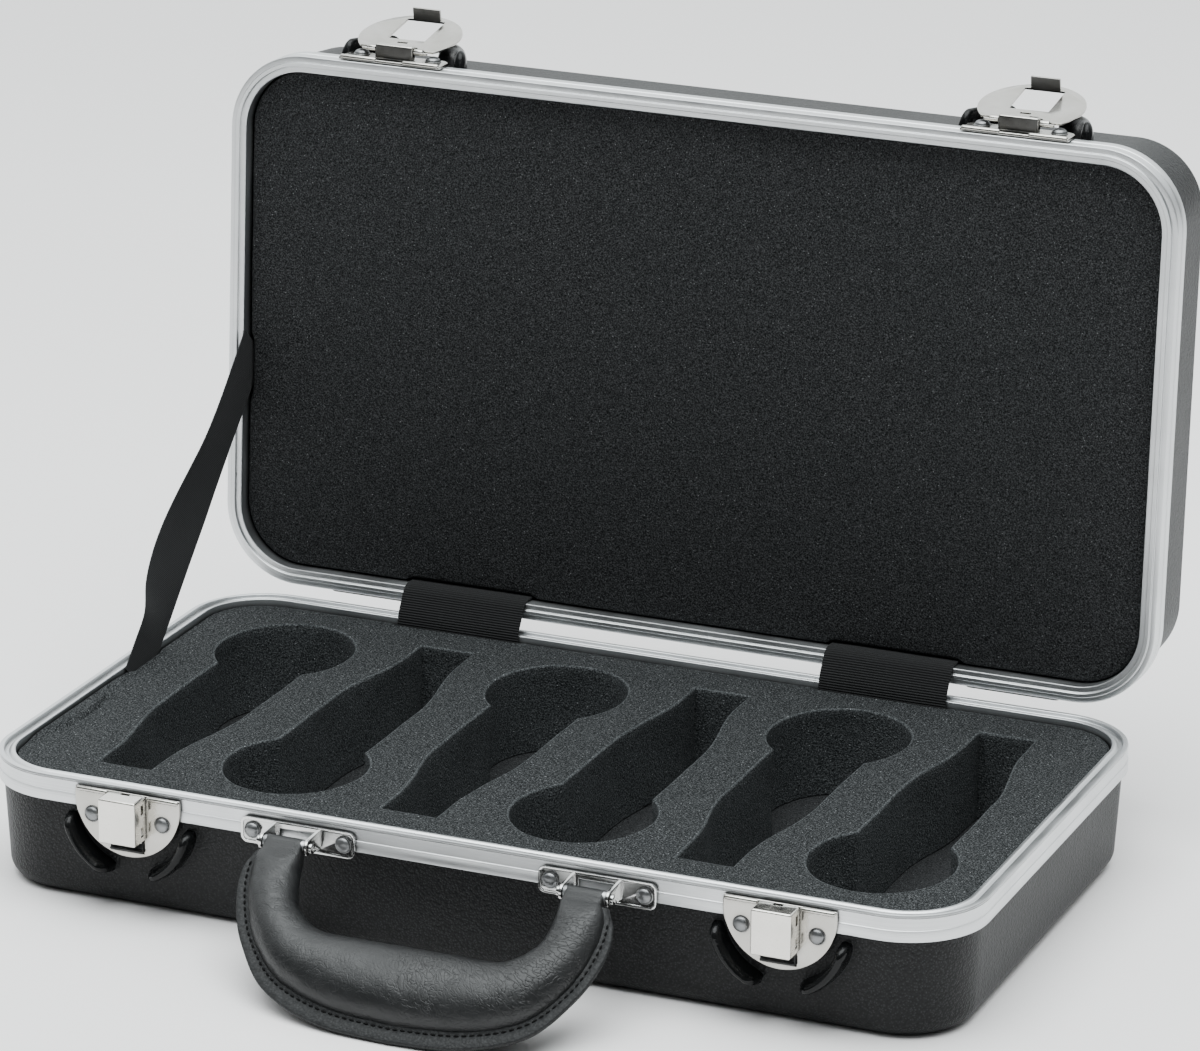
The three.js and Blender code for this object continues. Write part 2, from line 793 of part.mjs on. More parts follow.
// The hasp is modelled shut, hanging over the button, and turned open about its pin.
function haspSolid(place) {
  const sheetLow = haspAxisProud - haspWall / 2;
  const centre = haspCentreDrop;
  const axis = -haspAxisRise;
  const nearEnd = axis - haspKnuckleRadius;
  const disc = new THREE.Shape();
  const start = Math.asin((nearEnd - centre) / haspRadius);
  disc.absarc(0, centre, haspRadius, start, Math.PI - start, false);
  const sheet = solidOf(extruded(disc, sheetLow, haspWall, { curveSegments: 40 }).translate(place, 0, 0));
  const windowTop = plateTopDrop - windowClearance;
  const windowHalf = buttonWidth / 2 + windowClearance;
  const window = block(
    place - windowHalf, place + windowHalf, windowTop, haspWindowEnd,
    sheetLow - overrun, sheetLow + overrun,
  );
  const sweep = Math.hypot(housingFront, housingProud - haspAxisProud) + windowClearance;
  const notch = block(
    place - knuckleStart, place + knuckleStart, nearEnd - overrun, axis + sweep,
    sheetLow - overrun, sheetLow + overrun,
  );
  const springSlotDrop = (axis + sweep + windowTop) / 2;
  const springSlot = block(
    place - springSlotWidth / 2, place + springSlotWidth / 2,
    springSlotDrop - springSlotHeight / 2, springSlotDrop + springSlotHeight / 2,
    sheetLow - overrun, sheetLow + overrun,
  );
  const knuckles = [-1, 1].map((side) => {
    const inner = side * knuckleStart;
    const outer = side * (knuckleStart + haspKnuckleLength);
    return solidOf(barX(
      haspKnuckleRadius, place + Math.min(inner, outer), place + Math.max(inner, outer),
      axis, haspAxisProud, 12,
    ));
  });
  const tab = block(
    place - tabWidth / 2, place + tabWidth / 2, haspWindowEnd, haspWindowEnd + haspWall,
    haspAxisProud - tabHeight, haspAxisProud,
  );
  const bore = barX(
    haspPinRadius + pinClearance, place - 2 * housingWidth, place + 2 * housingWidth, axis, haspAxisProud, 12,
  );
  const solid = cut(
    joined(sheet, ...knuckles), solidOf(window), solidOf(notch), solidOf(springSlot), solidOf(bore),
  );
  return intoWall(joined(solid, solidOf(tab)), 'base');
}

// Hinges: leaves on the outside of the back bands, knuckles shared on one pin.
function hingeLeafSolid(place, half) {
  const low = halfDepth + seatGap;
  const high = low + hingeLeafWall;
  const turn = half === 'lid' ? 1 : -1;
  const knuckles = half === 'lid' ? [0] : [-1, 1];
  const nearest = half === 'lid' ? hingeZ + knuckleRadius + seatGap : halfHeight - rimGap;
  const far = nearest + turn * hingeLeafHeight;
  const leaf = block(
    place - hingeLeafLength / 2, place + hingeLeafLength / 2, low, high,
    Math.min(nearest, far), Math.max(nearest, far),
  );
  const solids = [solidOf(leaf)];
  for (const k of knuckles) {
    const middle = place + k * (knuckleLength + seatGap);
    const from = middle - knuckleLength / 2;
    const to = middle + knuckleLength / 2;
    const inside = nearest + turn * hingeLeafWall;
    solids.push(solidOf(block(from, to, low, high, Math.min(inside, hingeZ), Math.max(inside, hingeZ))));
    solids.push(solidOf(barX(knuckleRadius, from, to, hingeY, hingeZ, 16)));
  }
  const bore = barX(
    hingePinRadius + pinClearance, place - hingeLeafLength, place + hingeLeafLength, hingeY, hingeZ, 16,
  );
  return cut(joined(...solids), solidOf(bore));
}

function hingePinSolid(place) {
  const reach = hingeLeafLength / 2;
  return solidOf(barX(hingePinRadius, place - reach, place + reach, hingeY, hingeZ, 12));
}

// Point of the open lid, from a point of the closed lid.
function openPoint(y, z) {
  const offsetY = y - hingeY;
  const offsetZ = z - hingeZ;
  const cos = Math.cos(openAngle * degrees);
  const sin = Math.sin(openAngle * degrees);
  return [hingeY + offsetY * cos + offsetZ * sin, hingeZ - offsetY * sin + offsetZ * cos];
}

// A strip of even wall along a bent line in the Y-Z plane, as wide as it is long in X.
function ribbonShape(line, wall) {
  const sides = [[], []];
  line.forEach(([y, z], i) => {
    const before = line[Math.max(i - 1, 0)];
    const after = line[Math.min(i + 1, line.length - 1)];
    const length = Math.hypot(after[0] - before[0], after[1] - before[1]);
    const normalY = -(after[1] - before[1]) / length;
    const normalZ = (after[0] - before[0]) / length;
    sides[0].push([y + normalY * wall / 2, z + normalZ * wall / 2]);
    sides[1].push([y - normalY * wall / 2, z - normalZ * wall / 2]);
  });
  return polygonShape([...sides[0], ...sides[1].reverse()]);
}

function alongX(shape, low, high) {
  const geometry = extruded(shape, 0, high - low);
  return geometry.applyMatrix4(new THREE.Matrix4().set(
    0, 0, 1, low, 1, 0, 0, 0, 0, 1, 0, 0, 0, 0, 0, 1,
  ));
}

function hingeCoverSolid(place) {
  const lift = webbingWall / 2 + seatGap;
  const deep = halfHeight - webbingTuck;
  const baseLip = [webbingY, halfHeight + lift];
  const lidInside = openPoint(webbingY, halfHeight + webbingTuck);
  const lidLip = openPoint(webbingY, halfHeight - lift);
  const line = [[webbingY, deep], baseLip, lidLip, lidInside];
  return solidOf(alongX(ribbonShape(line, webbingWall), place - coverWidth / 2, place + coverWidth / 2));
}

// Stay strap: webbing from the base's left wall to the lid's, taut but for a slight twist.
function strapSolid() {
  const [lipY, lipZ] = openPoint(strapPlace, halfHeight);
  const start = new THREE.Vector3(strapX, strapPlace, halfHeight);
  const end = new THREE.Vector3(strapX, lipY, lipZ);
  const along = end.clone().sub(start).normalize();
  const flat = new THREE.Vector3(0, -along.z, along.y);
  const outward = new THREE.Vector3(-1, 0, 0);
  const bend = new THREE.SplineCurve(strapTwistAngles.map(
    (twist, i) => new THREE.Vector2(twist * degrees, strapSwayShares[i] * strapWidth),
  ));
  const ring = (centre, twist, sway) => {
    const across = flat.clone().multiplyScalar(Math.cos(twist)).addScaledVector(outward, Math.sin(twist));
    const normal = new THREE.Vector3().crossVectors(along, across);
    return [[-1, -1], [1, -1], [1, 1], [-1, 1]].map(([wide, thick]) => centre.clone()
      .addScaledVector(outward, sway)
      .addScaledVector(across, wide * strapWidth / 2)
      .addScaledVector(normal, thick * strapWall / 2));
  };
  const rings = [ring(start.clone().addScaledVector(along, -strapTuck), 0, 0)];
  for (let i = 0; i <= strapSteps; i += 1) {
    const share = i / strapSteps;
    const at = bend.getPoint(share);
    rings.push(ring(start.clone().lerp(end, share), at.x, at.y));
  }
  rings.push(ring(end.clone().addScaledVector(along, strapTuck), 0, 0));
  return solidOf(loft(rings));
}

// Ear outline in drop and proud distance: a triangle that narrows to the pin's eye.
function earShape(pinDrop) {
  const rootAngleAt = (drop) => Math.atan2(seatGap - handleAxisProud, drop - pinDrop);
  const tangentTurnAt = (drop) => Math.acos(
    earRadius / Math.hypot(drop - pinDrop, handleAxisProud - seatGap),
  );
  const top = -earTopShare * bracketHeight / 2;
  const bottom = earBottomShare * bracketHeight / 2;
  const shape = new THREE.Shape();
  shape.moveTo(top, seatGap);
  shape.lineTo(bottom, seatGap);
  shape.absarc(
    pinDrop, handleAxisProud, earRadius, rootAngleAt(bottom) + tangentTurnAt(bottom),
    rootAngleAt(top) - tangentTurnAt(top) + 2 * Math.PI, false,
  );
  return shape;
}

// Handle bracket: embossed plate on the band with two ears for the pivot pin.
function bracketSolid(place) {
  const outline = roundedShape(bracketWidth, bracketHeight, bracketRound);
  const plate = solidOf(extruded(outline, seatGap, plateWall, { curveSegments: 3 }));
  const rim = roundedShape(bracketWidth, bracketHeight, bracketRound);
  rim.holes.push(roundedShape(
    bracketWidth - 2 * bracketRimWidth, bracketHeight - 2 * bracketRimWidth, bracketRound - bracketRimWidth,
  ));
  const raised = solidOf(extruded(rim, plateTop - seatGap, bracketRimHeight + seatGap, { curveSegments: 3 }));
  const windowHalf = earSpacing / 2 - earWall;
  const window = solidOf(block(
    -windowHalf, windowHalf, -bracketHeight / 4, bracketHeight / 4, -overrun, overrun,
  ));
  const pinDrop = handleDrop - bracketDrop;
  const ears = [-1, 1].map((side) => {
    const inner = side * earSpacing / 2;
    const low = side < 0 ? inner - earWall : inner;
    const geometry = extruded(earShape(pinDrop), 0, earWall, { curveSegments: 5 });
    geometry.applyMatrix4(new THREE.Matrix4().set(
      0, 0, 1, low, 1, 0, 0, 0, 0, 1, 0, 0, 0, 0, 0, 1,
    ));
    return solidOf(geometry);
  });
  const bore = solidOf(barX(
    handlePinRadius + pinClearance, -earSpacing, earSpacing, pinDrop, handleAxisProud, 12,
  ));
  const plain = cut(joined(cut(plate, window), raised, ...ears), bore);
  return intoWall(solidOf(geometryOf(plain).translate(place, bracketDrop, 0)), 'base');
}

function handlePinSolid(place) {
  const reach = earSpacing / 2 + earWall + seatGap;
  const pin = barX(handlePinRadius, place - reach, place + reach, handleDrop, handleAxisProud, 12);
  const heads = [-1, 1].map((side) => {
    const near = place + side * reach;
    const far = near + side * handlePinRadius;
    return solidOf(barX(
      handlePinHeadRadius, Math.min(near, far), Math.max(near, far), handleDrop, handleAxisProud, 12,
    ));
  });
  return intoWall(joined(solidOf(pin), ...heads), 'base');
}

// Handle coordinates: x, distance out from the pivot line, height above the handle's plane.
const handleY = -halfDepth - handleAxisProud;
const handleZ = halfHeight - handleDrop;

function handleEndSolid(place) {
  const halfEye = earSpacing / 2 - seatGap;
  const eye = solidOf(barX(eyeRadius, place - halfEye, place + halfEye, 0, 0, 12));
  const tang = solidOf(block(
    place - tangWidth / 2, place + tangWidth / 2, 0, tangLength, -tangThickness / 2, tangThickness / 2,
  ));
  const boreRadius = handlePinRadius + pinClearance;
  const bore = solidOf(barX(boreRadius, place - earSpacing, place + earSpacing, 0, 0, 12));
  return intoHandle(cut(joined(eye, tang), bore));
}

function intoHandle(solid) {
  return solidOf(placed(geometryOf(solid), new THREE.Matrix4().set(
    1, 0, 0, 0, 0, -1, 0, 0, 0, 0, -1, 0, 0, 0, 0, 1,
  )));
}

// Grip outline from the pivot to the middle: inner edge, seam line, thickness and flange,
// as shares of the half width, the reach, the half thickness and the flange width.
const gripShares = [
  [0.720, 0.059, 0.933, 0.059, 0.38, 0.12],
  [0.707, 0.153, 0.967, 0.153, 0.62, 0.45],
  [0.677, 0.294, 0.951, 0.318, 0.80, 0.62],
  [0.628, 0.376, 0.860, 0.550, 0.92, 0.68],
  [0.488, 0.463, 0.671, 0.765, 0.98, 0.84],
  [0.244, 0.467, 0.366, 0.876, 1, 0.94],
  [0, 0.467, 0, 0.906, 1, 0.92],
];

function gripStationAt(share) {
  const steps = gripShares.length - 1;
  const along = Math.min(Math.abs(share) * steps, steps - 1e-9);
  const from = Math.floor(along);
  const t = along - from;
  const row = (k) => gripShares[Math.min(Math.max(k, 0), steps)];
  return gripShares[0].map((_, column) => {
    const [p0, p1, p2, p3] = [row(from - 1), row(from), row(from + 1), row(from + 2)].map((r) => r[column]);
    const slopeIn = (p2 - p0) / 2;
    const slopeOut = (p3 - p1) / 2;
    return (2 * t ** 3 - 3 * t ** 2 + 1) * p1 + (t ** 3 - 2 * t ** 2 + t) * slopeIn
      + (3 * t ** 2 - 2 * t ** 3) * p2 + (t ** 3 - t ** 2) * slopeOut;
  });
}

// The soft grip leans a little to its right, more so further out.
function gripPoint(acrossShare, outShare) {
  const out = outShare * handleReach;
  return new THREE.Vector2(acrossShare * gripHalfWidth + out * gripLeanShare, out);
}

function gripRings(makeRing) {
  const rings = [];
  for (let i = 0; i <= 2 * gripStations; i += 1) {
    const side = i <= gripStations ? -1 : 1;
    const share = i <= gripStations ? i / gripStations : 2 - i / gripStations;
    const [innerX, innerOut, outerX, outerOut, thick, flange] = gripStationAt(share);
    const inner = gripPoint(side * innerX, innerOut);
    const outer = gripPoint(side * outerX, outerOut);
    rings.push(makeRing(inner, outer, thick * gripHalfThickness, flange * flangeWidth));
  }
  return rings;
}

function gripSolid() {
  const tube = gripRings((inner, outer, thick) => {
    const centre = inner.clone().add(outer).multiplyScalar(1 / 2);
    const reach = outer.clone().sub(inner).multiplyScalar(1 / 2);
    const ring = [];
    for (let i = 0; i < gripSides; i += 1) {
      const angle = (i / gripSides) * 2 * Math.PI;
      ring.push(new THREE.Vector3(
        centre.x + reach.x * Math.cos(angle), centre.y + reach.y * Math.cos(angle), thick * Math.sin(angle),
      ));
    }
    return ring;
  });
  const flange = gripRings((inner, outer, thick, width) => {
    const reach = outer.clone().sub(inner);
    const edge = outer.clone().addScaledVector(reach, width / reach.length());
    const root = outer.clone().addScaledVector(reach, -width / reach.length());
    const half = flangeThickness / 2;
    return [
      new THREE.Vector3(root.x, root.y, -half), new THREE.Vector3(edge.x, edge.y, -half),
      new THREE.Vector3(edge.x, edge.y, half), new THREE.Vector3(root.x, root.y, half),
    ];
  });
  const sockets = [-handlePlace, handlePlace].flatMap((place) => [
    solidOf(block(
      place - tangWidth / 2 - seatGap, place + tangWidth / 2 + seatGap, -overrun, tangLength + seatGap,
      -tangThickness / 2 - seatGap, tangThickness / 2 + seatGap,
    )),
    solidOf(barX(eyeRadius + seatGap, place - earSpacing, place + earSpacing, 0, 0, 16)),
  ]);
  return intoHandle(cut(joined(solidOf(loft(tube)), solidOf(loft(flange))), ...sockets));
}

// Assembly

function buildBase(group) {
  const holes = rivetPlaces('base').map(([, x, drop]) => rivetHole(x, drop, 'base'));
  addPiece(group, 'base_shell', cut(shellSolid('base'), ...holes), shellFinish);
  addPiece(group, 'base_frame', cut(frameSolid('base'), ...holes), aluminiumFinish);
  addPiece(group, 'floor_pad', floorPadSolid(), foamFinish);
  addPiece(group, 'pocket_foam', pocketFoamSolid(), foamFinish);
  for (const [sideName, side] of latchSides) {
    const latchX = side * latchPlace;
    addPiece(group, `latch_plate_${sideName}`, cut(latchPlateSolid(latchX), ...holes), nickelFinish);
    addPiece(group, `latch_button_${sideName}`, buttonSolid(latchX), nickelFinish);
    addPiece(group, `latch_catch_${sideName}`, catchSolid(latchX), steelFinish);
    addPiece(group, `latch_spring_${sideName}`, latchSpringSolid(latchX), steelFinish);
    const bracket = cut(bracketSolid(side * handlePlace), ...holes);
    addPiece(group, `handle_bracket_${sideName}`, bracket, chromeFinish);
    addPiece(group, `handle_pin_${sideName}`, handlePinSolid(side * handlePlace), chromeFinish);
    addPiece(group, `hinge_leaf_base_${sideName}`, hingeLeafSolid(side * hingePlace, 'base'), steelFinish);
    addPiece(group, `hinge_pin_${sideName}`, hingePinSolid(side * hingePlace), steelFinish);
    addPiece(group, `hinge_cover_${sideName}`, hingeCoverSolid(side * hingePlace), webbingFinish);
  }
  for (const [name, x, drop, finish] of rivetPlaces('base')) {
    addPiece(group, name, rivetSolid(x, drop, 'base'), finish);
  }
  addPiece(group, 'lid_stay_strap', strapSolid(), webbingFinish);
}

function buildLid(group) {
  const holes = rivetPlaces('lid').map(([, x, drop]) => rivetHole(x, drop, 'lid'));
  addPiece(group, 'lid_shell', cut(shellSolid('lid'), ...holes), shellFinish);
  addPiece(group, 'lid_frame', cut(frameSolid('lid'), ...holes), aluminiumFinish);
  addPiece(group, 'lid_foam', lidFoamSolid(), foamFinish);
  for (const [sideName, side] of latchSides) {
    const latchX = side * latchPlace;
    addPiece(group, `hasp_plate_${sideName}`, cut(haspPlateSolid(latchX), ...holes), nickelFinish);
    addPiece(group, `hasp_pin_${sideName}`, haspPinSolid(latchX), steelFinish);
    addPiece(group, `hasp_spring_${sideName}`, haspSpringSolid(latchX), steelFinish);
    addPiece(group, `hinge_leaf_lid_${sideName}`, hingeLeafSolid(side * hingePlace, 'lid'), steelFinish);
    const turned = turnedGroup(group, haspAxisY, haspAxisZ, -haspOpenAngle);
    addPiece(turned, `hasp_${sideName}`, haspSolid(latchX), nickelFinish);
  }
  for (const [name, x, drop, finish] of rivetPlaces('lid')) {
    addPiece(group, name, rivetSolid(x, drop, 'lid'), finish);
  }
}

// A group turned about a line along X, whose pieces are modelled unturned.
function turnedGroup(parent, y, z, angle) {
  const pivot = new THREE.Group();
  pivot.position.set(0, y, z);
  pivot.rotation.x = angle * degrees;
  const unturned = new THREE.Group();
  unturned.position.set(0, -y, -z);
  pivot.add(unturned);
  parent.add(pivot);
  return unturned;
}

function buildHandle(group) {
  const pivot = new THREE.Group();
  pivot.position.set(0, handleY, handleZ);
  pivot.rotation.x = handleRestAngle * degrees;
  for (const [sideName, side] of latchSides) {
    addPiece(pivot, `handle_end_${sideName}`, handleEndSolid(side * handlePlace), steelFinish);
  }
  addPiece(pivot, 'handle_grip', gripSolid(), leatherFinish);
  group.add(pivot);
}

const microphoneCase = new THREE.Group();
buildBase(microphoneCase);
buildLid(turnedGroup(microphoneCase, hingeY, hingeZ, -openAngle));
buildHandle(microphoneCase);

export default microphoneCase;
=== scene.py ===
import json
import math

import bmesh
import bpy
from mathutils import Matrix, Vector, noise
from mathutils.geometry import delaunay_2d_cdt
from mathutils.kdtree import KDTree


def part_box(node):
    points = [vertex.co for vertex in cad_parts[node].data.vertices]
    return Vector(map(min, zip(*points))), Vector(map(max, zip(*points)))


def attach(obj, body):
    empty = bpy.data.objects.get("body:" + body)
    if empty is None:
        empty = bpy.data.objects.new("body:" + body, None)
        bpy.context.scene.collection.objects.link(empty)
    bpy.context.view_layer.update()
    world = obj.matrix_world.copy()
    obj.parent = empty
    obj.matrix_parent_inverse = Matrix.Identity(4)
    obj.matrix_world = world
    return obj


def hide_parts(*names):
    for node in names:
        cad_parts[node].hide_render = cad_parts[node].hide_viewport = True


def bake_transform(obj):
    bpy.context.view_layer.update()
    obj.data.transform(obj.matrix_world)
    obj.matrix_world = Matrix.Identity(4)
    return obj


bl_info = {
    "name": "Foam-Lined Carrying Case",
    "version": (1, 0, 0),
    "blender": (4, 5, 0),
    "location": "View3D > Sidebar > Carrying Case",
    "description": "Builds a metal-framed carrying case with pocketed foam, latches and a padded handle",
    "category": "Object",
}

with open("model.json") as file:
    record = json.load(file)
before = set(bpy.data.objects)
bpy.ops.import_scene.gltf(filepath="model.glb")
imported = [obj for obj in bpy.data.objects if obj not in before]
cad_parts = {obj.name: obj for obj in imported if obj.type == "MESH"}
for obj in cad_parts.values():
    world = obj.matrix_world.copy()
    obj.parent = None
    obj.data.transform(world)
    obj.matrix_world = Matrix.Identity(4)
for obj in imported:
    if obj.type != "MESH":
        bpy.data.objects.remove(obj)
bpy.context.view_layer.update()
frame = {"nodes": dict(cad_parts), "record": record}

# Lengths in the modelling code are millimetres in the case's own frame, and MM turns them into metres.
# The studio's lengths are metres.
MM = 0.001

# Case sizes, taken from the frame
JOINTS = {joint["name"]: joint for joint in frame["record"]["behaviour"]["joints"]}
RIM_GAP = 0.3


def node_box(node):
    low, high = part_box(node)
    return low / MM, high / MM


band_low, band_high = node_box("base_frame")
CASE_WIDTH = band_high.x - band_low.x
CASE_DEPTH = band_high.y - band_low.y
PARTING = band_high.z + RIM_GAP / 2
FRONT = -CASE_DEPTH / 2
BACK = CASE_DEPTH / 2
CORNER_RADIUS = 36
CORNER_STEPS = 20
HINGE = Vector(JOINTS["lid_hinge"]["pos_m"]) / MM
OPEN_ANGLE = math.radians(JOINTS["lid_hinge"]["range_deg"][1])
LID_TURN = Matrix.Translation(HINGE) @ Matrix.Rotation(-OPEN_ANGLE, 4, "X") @ Matrix.Translation(-HINGE)

# Frame section
BAND_HEIGHT = 12
BAND_WALL = 1.5
RIM_WIDTH = 7.5
RIM_UNDERSIDE = 2.9
LIP_WALL = 1
LIP_DEPTH = 7.4

# Shells
SHELL_INSET = 1.8
SHELL_WALL = 2.8
SHELL_DRAFT = 2.6
LIP_DROP = 3.05
BOTTOM_RADIUS = 8.5
BOTTOM_STEPS = 12
SHELL_WALL_SHARES = (0, 0.1, 0.3, 0.6, 0.9, 1)
GUARD_CENTRE_DROP = 12
GUARD_RADIUS = 28.5
GUARD_WIDTH = 6
GUARD_PROUD = 6
GUARD_START = 8
GUARD_END = 72
GUARD_STEPS = 40
GUARD_EASED_STEPS = 7
GUARD_CROWN_STEPS = 12
GUARD_FULLNESS = 0.8
GUARD_END_SHARE = 0.015
FOOT_PLACE = 155.9
FOOT_LENGTH = 46
FOOT_HEIGHT = 24
FOOT_DROP = 14
FOOT_PROUD = 5.6
FOOT_CORNER = 3.4
FOOT_ROUND = 2.4
FOOT_STRAIGHT = 0.4

# Foam
FOAM_INSET = 7.9
FOAM_SEAT_GAP = 0.3
FOAM_BESIDE_COVER = 1.6
FOAM_BESIDE_STRAP = 1.4
POCKET_COUNT = 6
POCKET_PITCH = 67
POCKET_ROW_SHIFT = 2
POCKET_HEAD_SHIFT = 2
POCKET_LENGTH = 192.5
HEAD_HALF_WIDTH = 31
HEAD_HALF_LENGTH = 34.5
BODY_HALF_WIDTH = 20.5
TAIL_HALF_WIDTH = 12.6
TAPER_START = 76
TAPER_END = 16
POCKET_STRAIGHT = (18, 6, -6)
POCKET_SPACING = 3.2
CUT_WAVE = 0.45
BASE_FOAM_DROP = 3.4
BASE_FOAM_BOW = 1.1
BASE_FOAM_SPACING = 6.5
LID_FOAM_DROP = 6
LID_FOAM_EDGE = 1.6
LID_FOAM_BOW = 0.6
LID_FOAM_SPACING = 8
LID_FOAM_DRAW_IN = 5.5
PAD_EDGE = 1.2
PAD_BOW = 0.4
PAD_SPACING = 9
PAD_OUTLINE_SPACING = 8
PAD_DRAW_IN = 3.5
PAD_SINK = 0.35
FOAM_OUTLINE_SPACING = 3.5
FOAM_EDGE_SHARES = [(1.0, 0.0), (0.62, 0.08), (0.3, 0.3), (0.08, 0.62), (0.0, 1.0)]
FOAM_WALL_SHARES = (0.12, 0.25, 0.4, 0.55, 0.7, 0.85)

# The strip of the base foam that stands up along the left wall; pairs are where a change begins and ends
BORDER_WIDTH = 8.2
BORDER_LEAST = 0.3
BORDER_FULL = 3
BORDER_START = (-98, -48)
BORDER_NARROWS = (-36, 8)
BORDER_NARROWING_SHARE = 0.78
BORDER_FADE = (2, 26)
BORDER_RISE = 1.5
BORDER_STEP = (-1.6, 0.2)
BORDER_CREASE = 0.9
BORDER_CREASE_WIDTH = 0.7
BORDER_COLUMNS = 10
BORDER_COLUMN_PITCH = 1.2
BORDER_ROWS = 54
BORDER_ROW_PITCH = 2.4
BORDER_FIRST_ROW = -100

# Places of the latches, hasps and hinges to either side of the middle
FITTING_PLACE = 148.05
HINGE_PLACE = 103.05

# Webbing
COVER_WIDTH = 60
COVER_WALL = 1.2
COVER_TUCK = 16
COVER_Y = 116.1
COVER_SLACK = 0.7
COVER_BEND = 4.5
COVER_SPACING = 0.3
COVER_COLUMNS = 16
COVER_WAVE = 0.35
COVER_EDGE_SHARE = 0.78
RIB_HEIGHT = 0.28
STRAP_PLACE = 25
STRAP_X = -216.7
STRAP_WIDTH = 25
STRAP_WALL = 1
STRAP_TUCK = 14
STRAP_STATIONS = 90
STRAP_COLUMNS = 12
STRAP_CUP = 0.5
STRAP_TWISTS = [0, 1, 12, 17, 17, 13, 7, 2, 0, 0, 0]
STRAP_SWAY_SHARES = [0, 0.01, 0.1, 0.14, 0.14, 0.11, 0.07, 0.03, 0.01, 0, 0]

# Latches and hasps
PLATE_BACK = 0.3
PLATE_TOP = 1.5
PLATE_STEPS = 56
PLATE_TOP_DROP = 2.2
PLATE_RADIUS = 24.9
PLATE_CENTRE_DROP = 6.5
PLATE_EDGE = 0.55
PLATE_BEAD = 1.1
PLATE_TOP_PLACES = (18, 9, 0, -9, -18)
SLOT_WIDTH = 15.4
SLOT_HEIGHT = 4.2
SLOT_DROP = 24.4
BUTTON_WIDTH = 17.6
BUTTON_HEIGHT = 20.0
BUTTON_CORNER = 1.1
BUTTON_EDGE = 0.85
BUTTON_WALL = 0.9
BUTTON_GAP = 0.3
SLIT_SHARES = (0.25, 0.75)
SLIT_REACH = 20
SLIT_HALF_HEIGHT = 2.2
SLIT_DEPTHS = (2.0, 4.4)
NOTCH_HALF_WIDTH = 2.2
NOTCH_HEIGHT = 2
NOTCH_DEPTH = 2.2
CUT_OVERRUN = 1
HASP_PLATE_DEPTH = 14.5
HASP_PLATE_ROUND = 4.5
HASP_PLATE_BREAK = 6.3
HASP_PLATE_EDGE = 0.5
HASP_PLATE_BEAD = 1.25
HASP_PLATE_PLACES = (-12, 0, 12)
HOUSING_WIDTH = 18.4
HOUSING_DEPTH = 4.4
HOUSING_DROP = 7.2
HOUSING_BACK = 0.4
HOUSING_PROUD = 8
HOUSING_CORNER = 1.2
HOUSING_EDGE = 1.0
# Which faces take the painted shade: the hook's near its top and facing the front, and the housing's facing
# the front.
HOOK_REACH = 5
HOOK_SHADE_FACING = -0.9
HOUSING_SHADE_FACING = -0.75

# How far the edges of the plain metal pieces are rounded
CATCH_ROUND = 0.15
SPRING_ROUND = 0.1
STEEL_ROUND = 0.2
HASP_ROUND = 0.25
BRACKET_ROUND = 0.25
HANDLE_PIN_ROUND = 0.3

# Rivets
RIVET_SEAT = 1.8
RIVET_RADIUS = 3.4
RIVET_SKIRT = 0.2
RIVET_SHANK = 1.7
RIVET_LENGTH = 4
LATCH_RIVET_SPREAD = 16.5
LATCH_RIVET_DROP = 14
HASP_RIVET_SPREAD = 17.5
HASP_RIVET_DROP = 12
BRACKET_RIVET_SPREAD = 21
BRACKET_RIVET_DROP = 9

# Handle
HANDLE_PLACE = 68
HANDLE_PIVOT = Vector(JOINTS["handle_pivot"]["pos_m"]) / MM
HANDLE_REST_ANGLE = math.radians(34.8)
PIN_WRAP = 3.3
PIN_WRAP_PLACES = (-3.3, -3.2, -2.9, -2.3, -1.4, -0.4, 0.8, 2.2, 3.6)
NECK_SQUARENESS = 0.35
NECK_THICKNESS_SHARE = 0.38
NECK_HALF_WIDTH = 8.7
HANDLE_REACH = 85
GRIP_HALF_WIDTH = 82
GRIP_HALF_THICKNESS = 12
GRIP_STATIONS = 60
GRIP_AROUND = 56
FLANGE_WIDTH = 8.2
FLANGE_THICKNESS = 2.4
FLANGE_LEAST_WIDTH = 2.8
FLANGE_ROOT = 3.5
FLANGE_RIM = 0.7
STITCH_OUT = 1.4
STITCH_LEAST_WIDTH = 3
STITCH_SHARE = 0.72
STITCH_RADIUS = 0.45
GRIP_LEAN = 0.13
GRIP_SHARES = [
    (0.720, 0.059, 0.933, 0.059, 0.38, 0.12),
    (0.707, 0.153, 0.967, 0.153, 0.62, 0.45),
    (0.677, 0.294, 0.951, 0.318, 0.80, 0.62),
    (0.628, 0.376, 0.860, 0.550, 0.92, 0.68),
    (0.488, 0.463, 0.671, 0.765, 0.98, 0.84),
    (0.244, 0.467, 0.366, 0.876, 1.00, 0.94),
    (0.000, 0.467, 0.000, 0.906, 1.00, 0.92),
]

SIDES = {"left": -1, "right": 1}

# Each set of rivets has a name, its half, the place of its plate, half its spread, its drop and its slot.
RIVET_SETS = (
    ("latch", "base", FITTING_PLACE, LATCH_RIVET_SPREAD, LATCH_RIVET_DROP, "nickel"),
    ("hasp", "lid", FITTING_PLACE, HASP_RIVET_SPREAD, HASP_RIVET_DROP, "nickel"),
    ("bracket", "base", HANDLE_PLACE, BRACKET_RIVET_SPREAD, BRACKET_RIVET_DROP, "chrome"),
)


# Places

def half_point(half, x, y, drop):
    """A point of a half, from its drop below (or rise above) the parting plane."""
    if half == "base":
        return Vector((x, y, PARTING - drop)) * MM
    return (LID_TURN @ Vector((x, y, PARTING + drop))) * MM


def wall_point(half, x, drop, proud):
    """A point of a half's front, standing proud of the frame's face."""
    return half_point(half, x, FRONT - proud, drop)


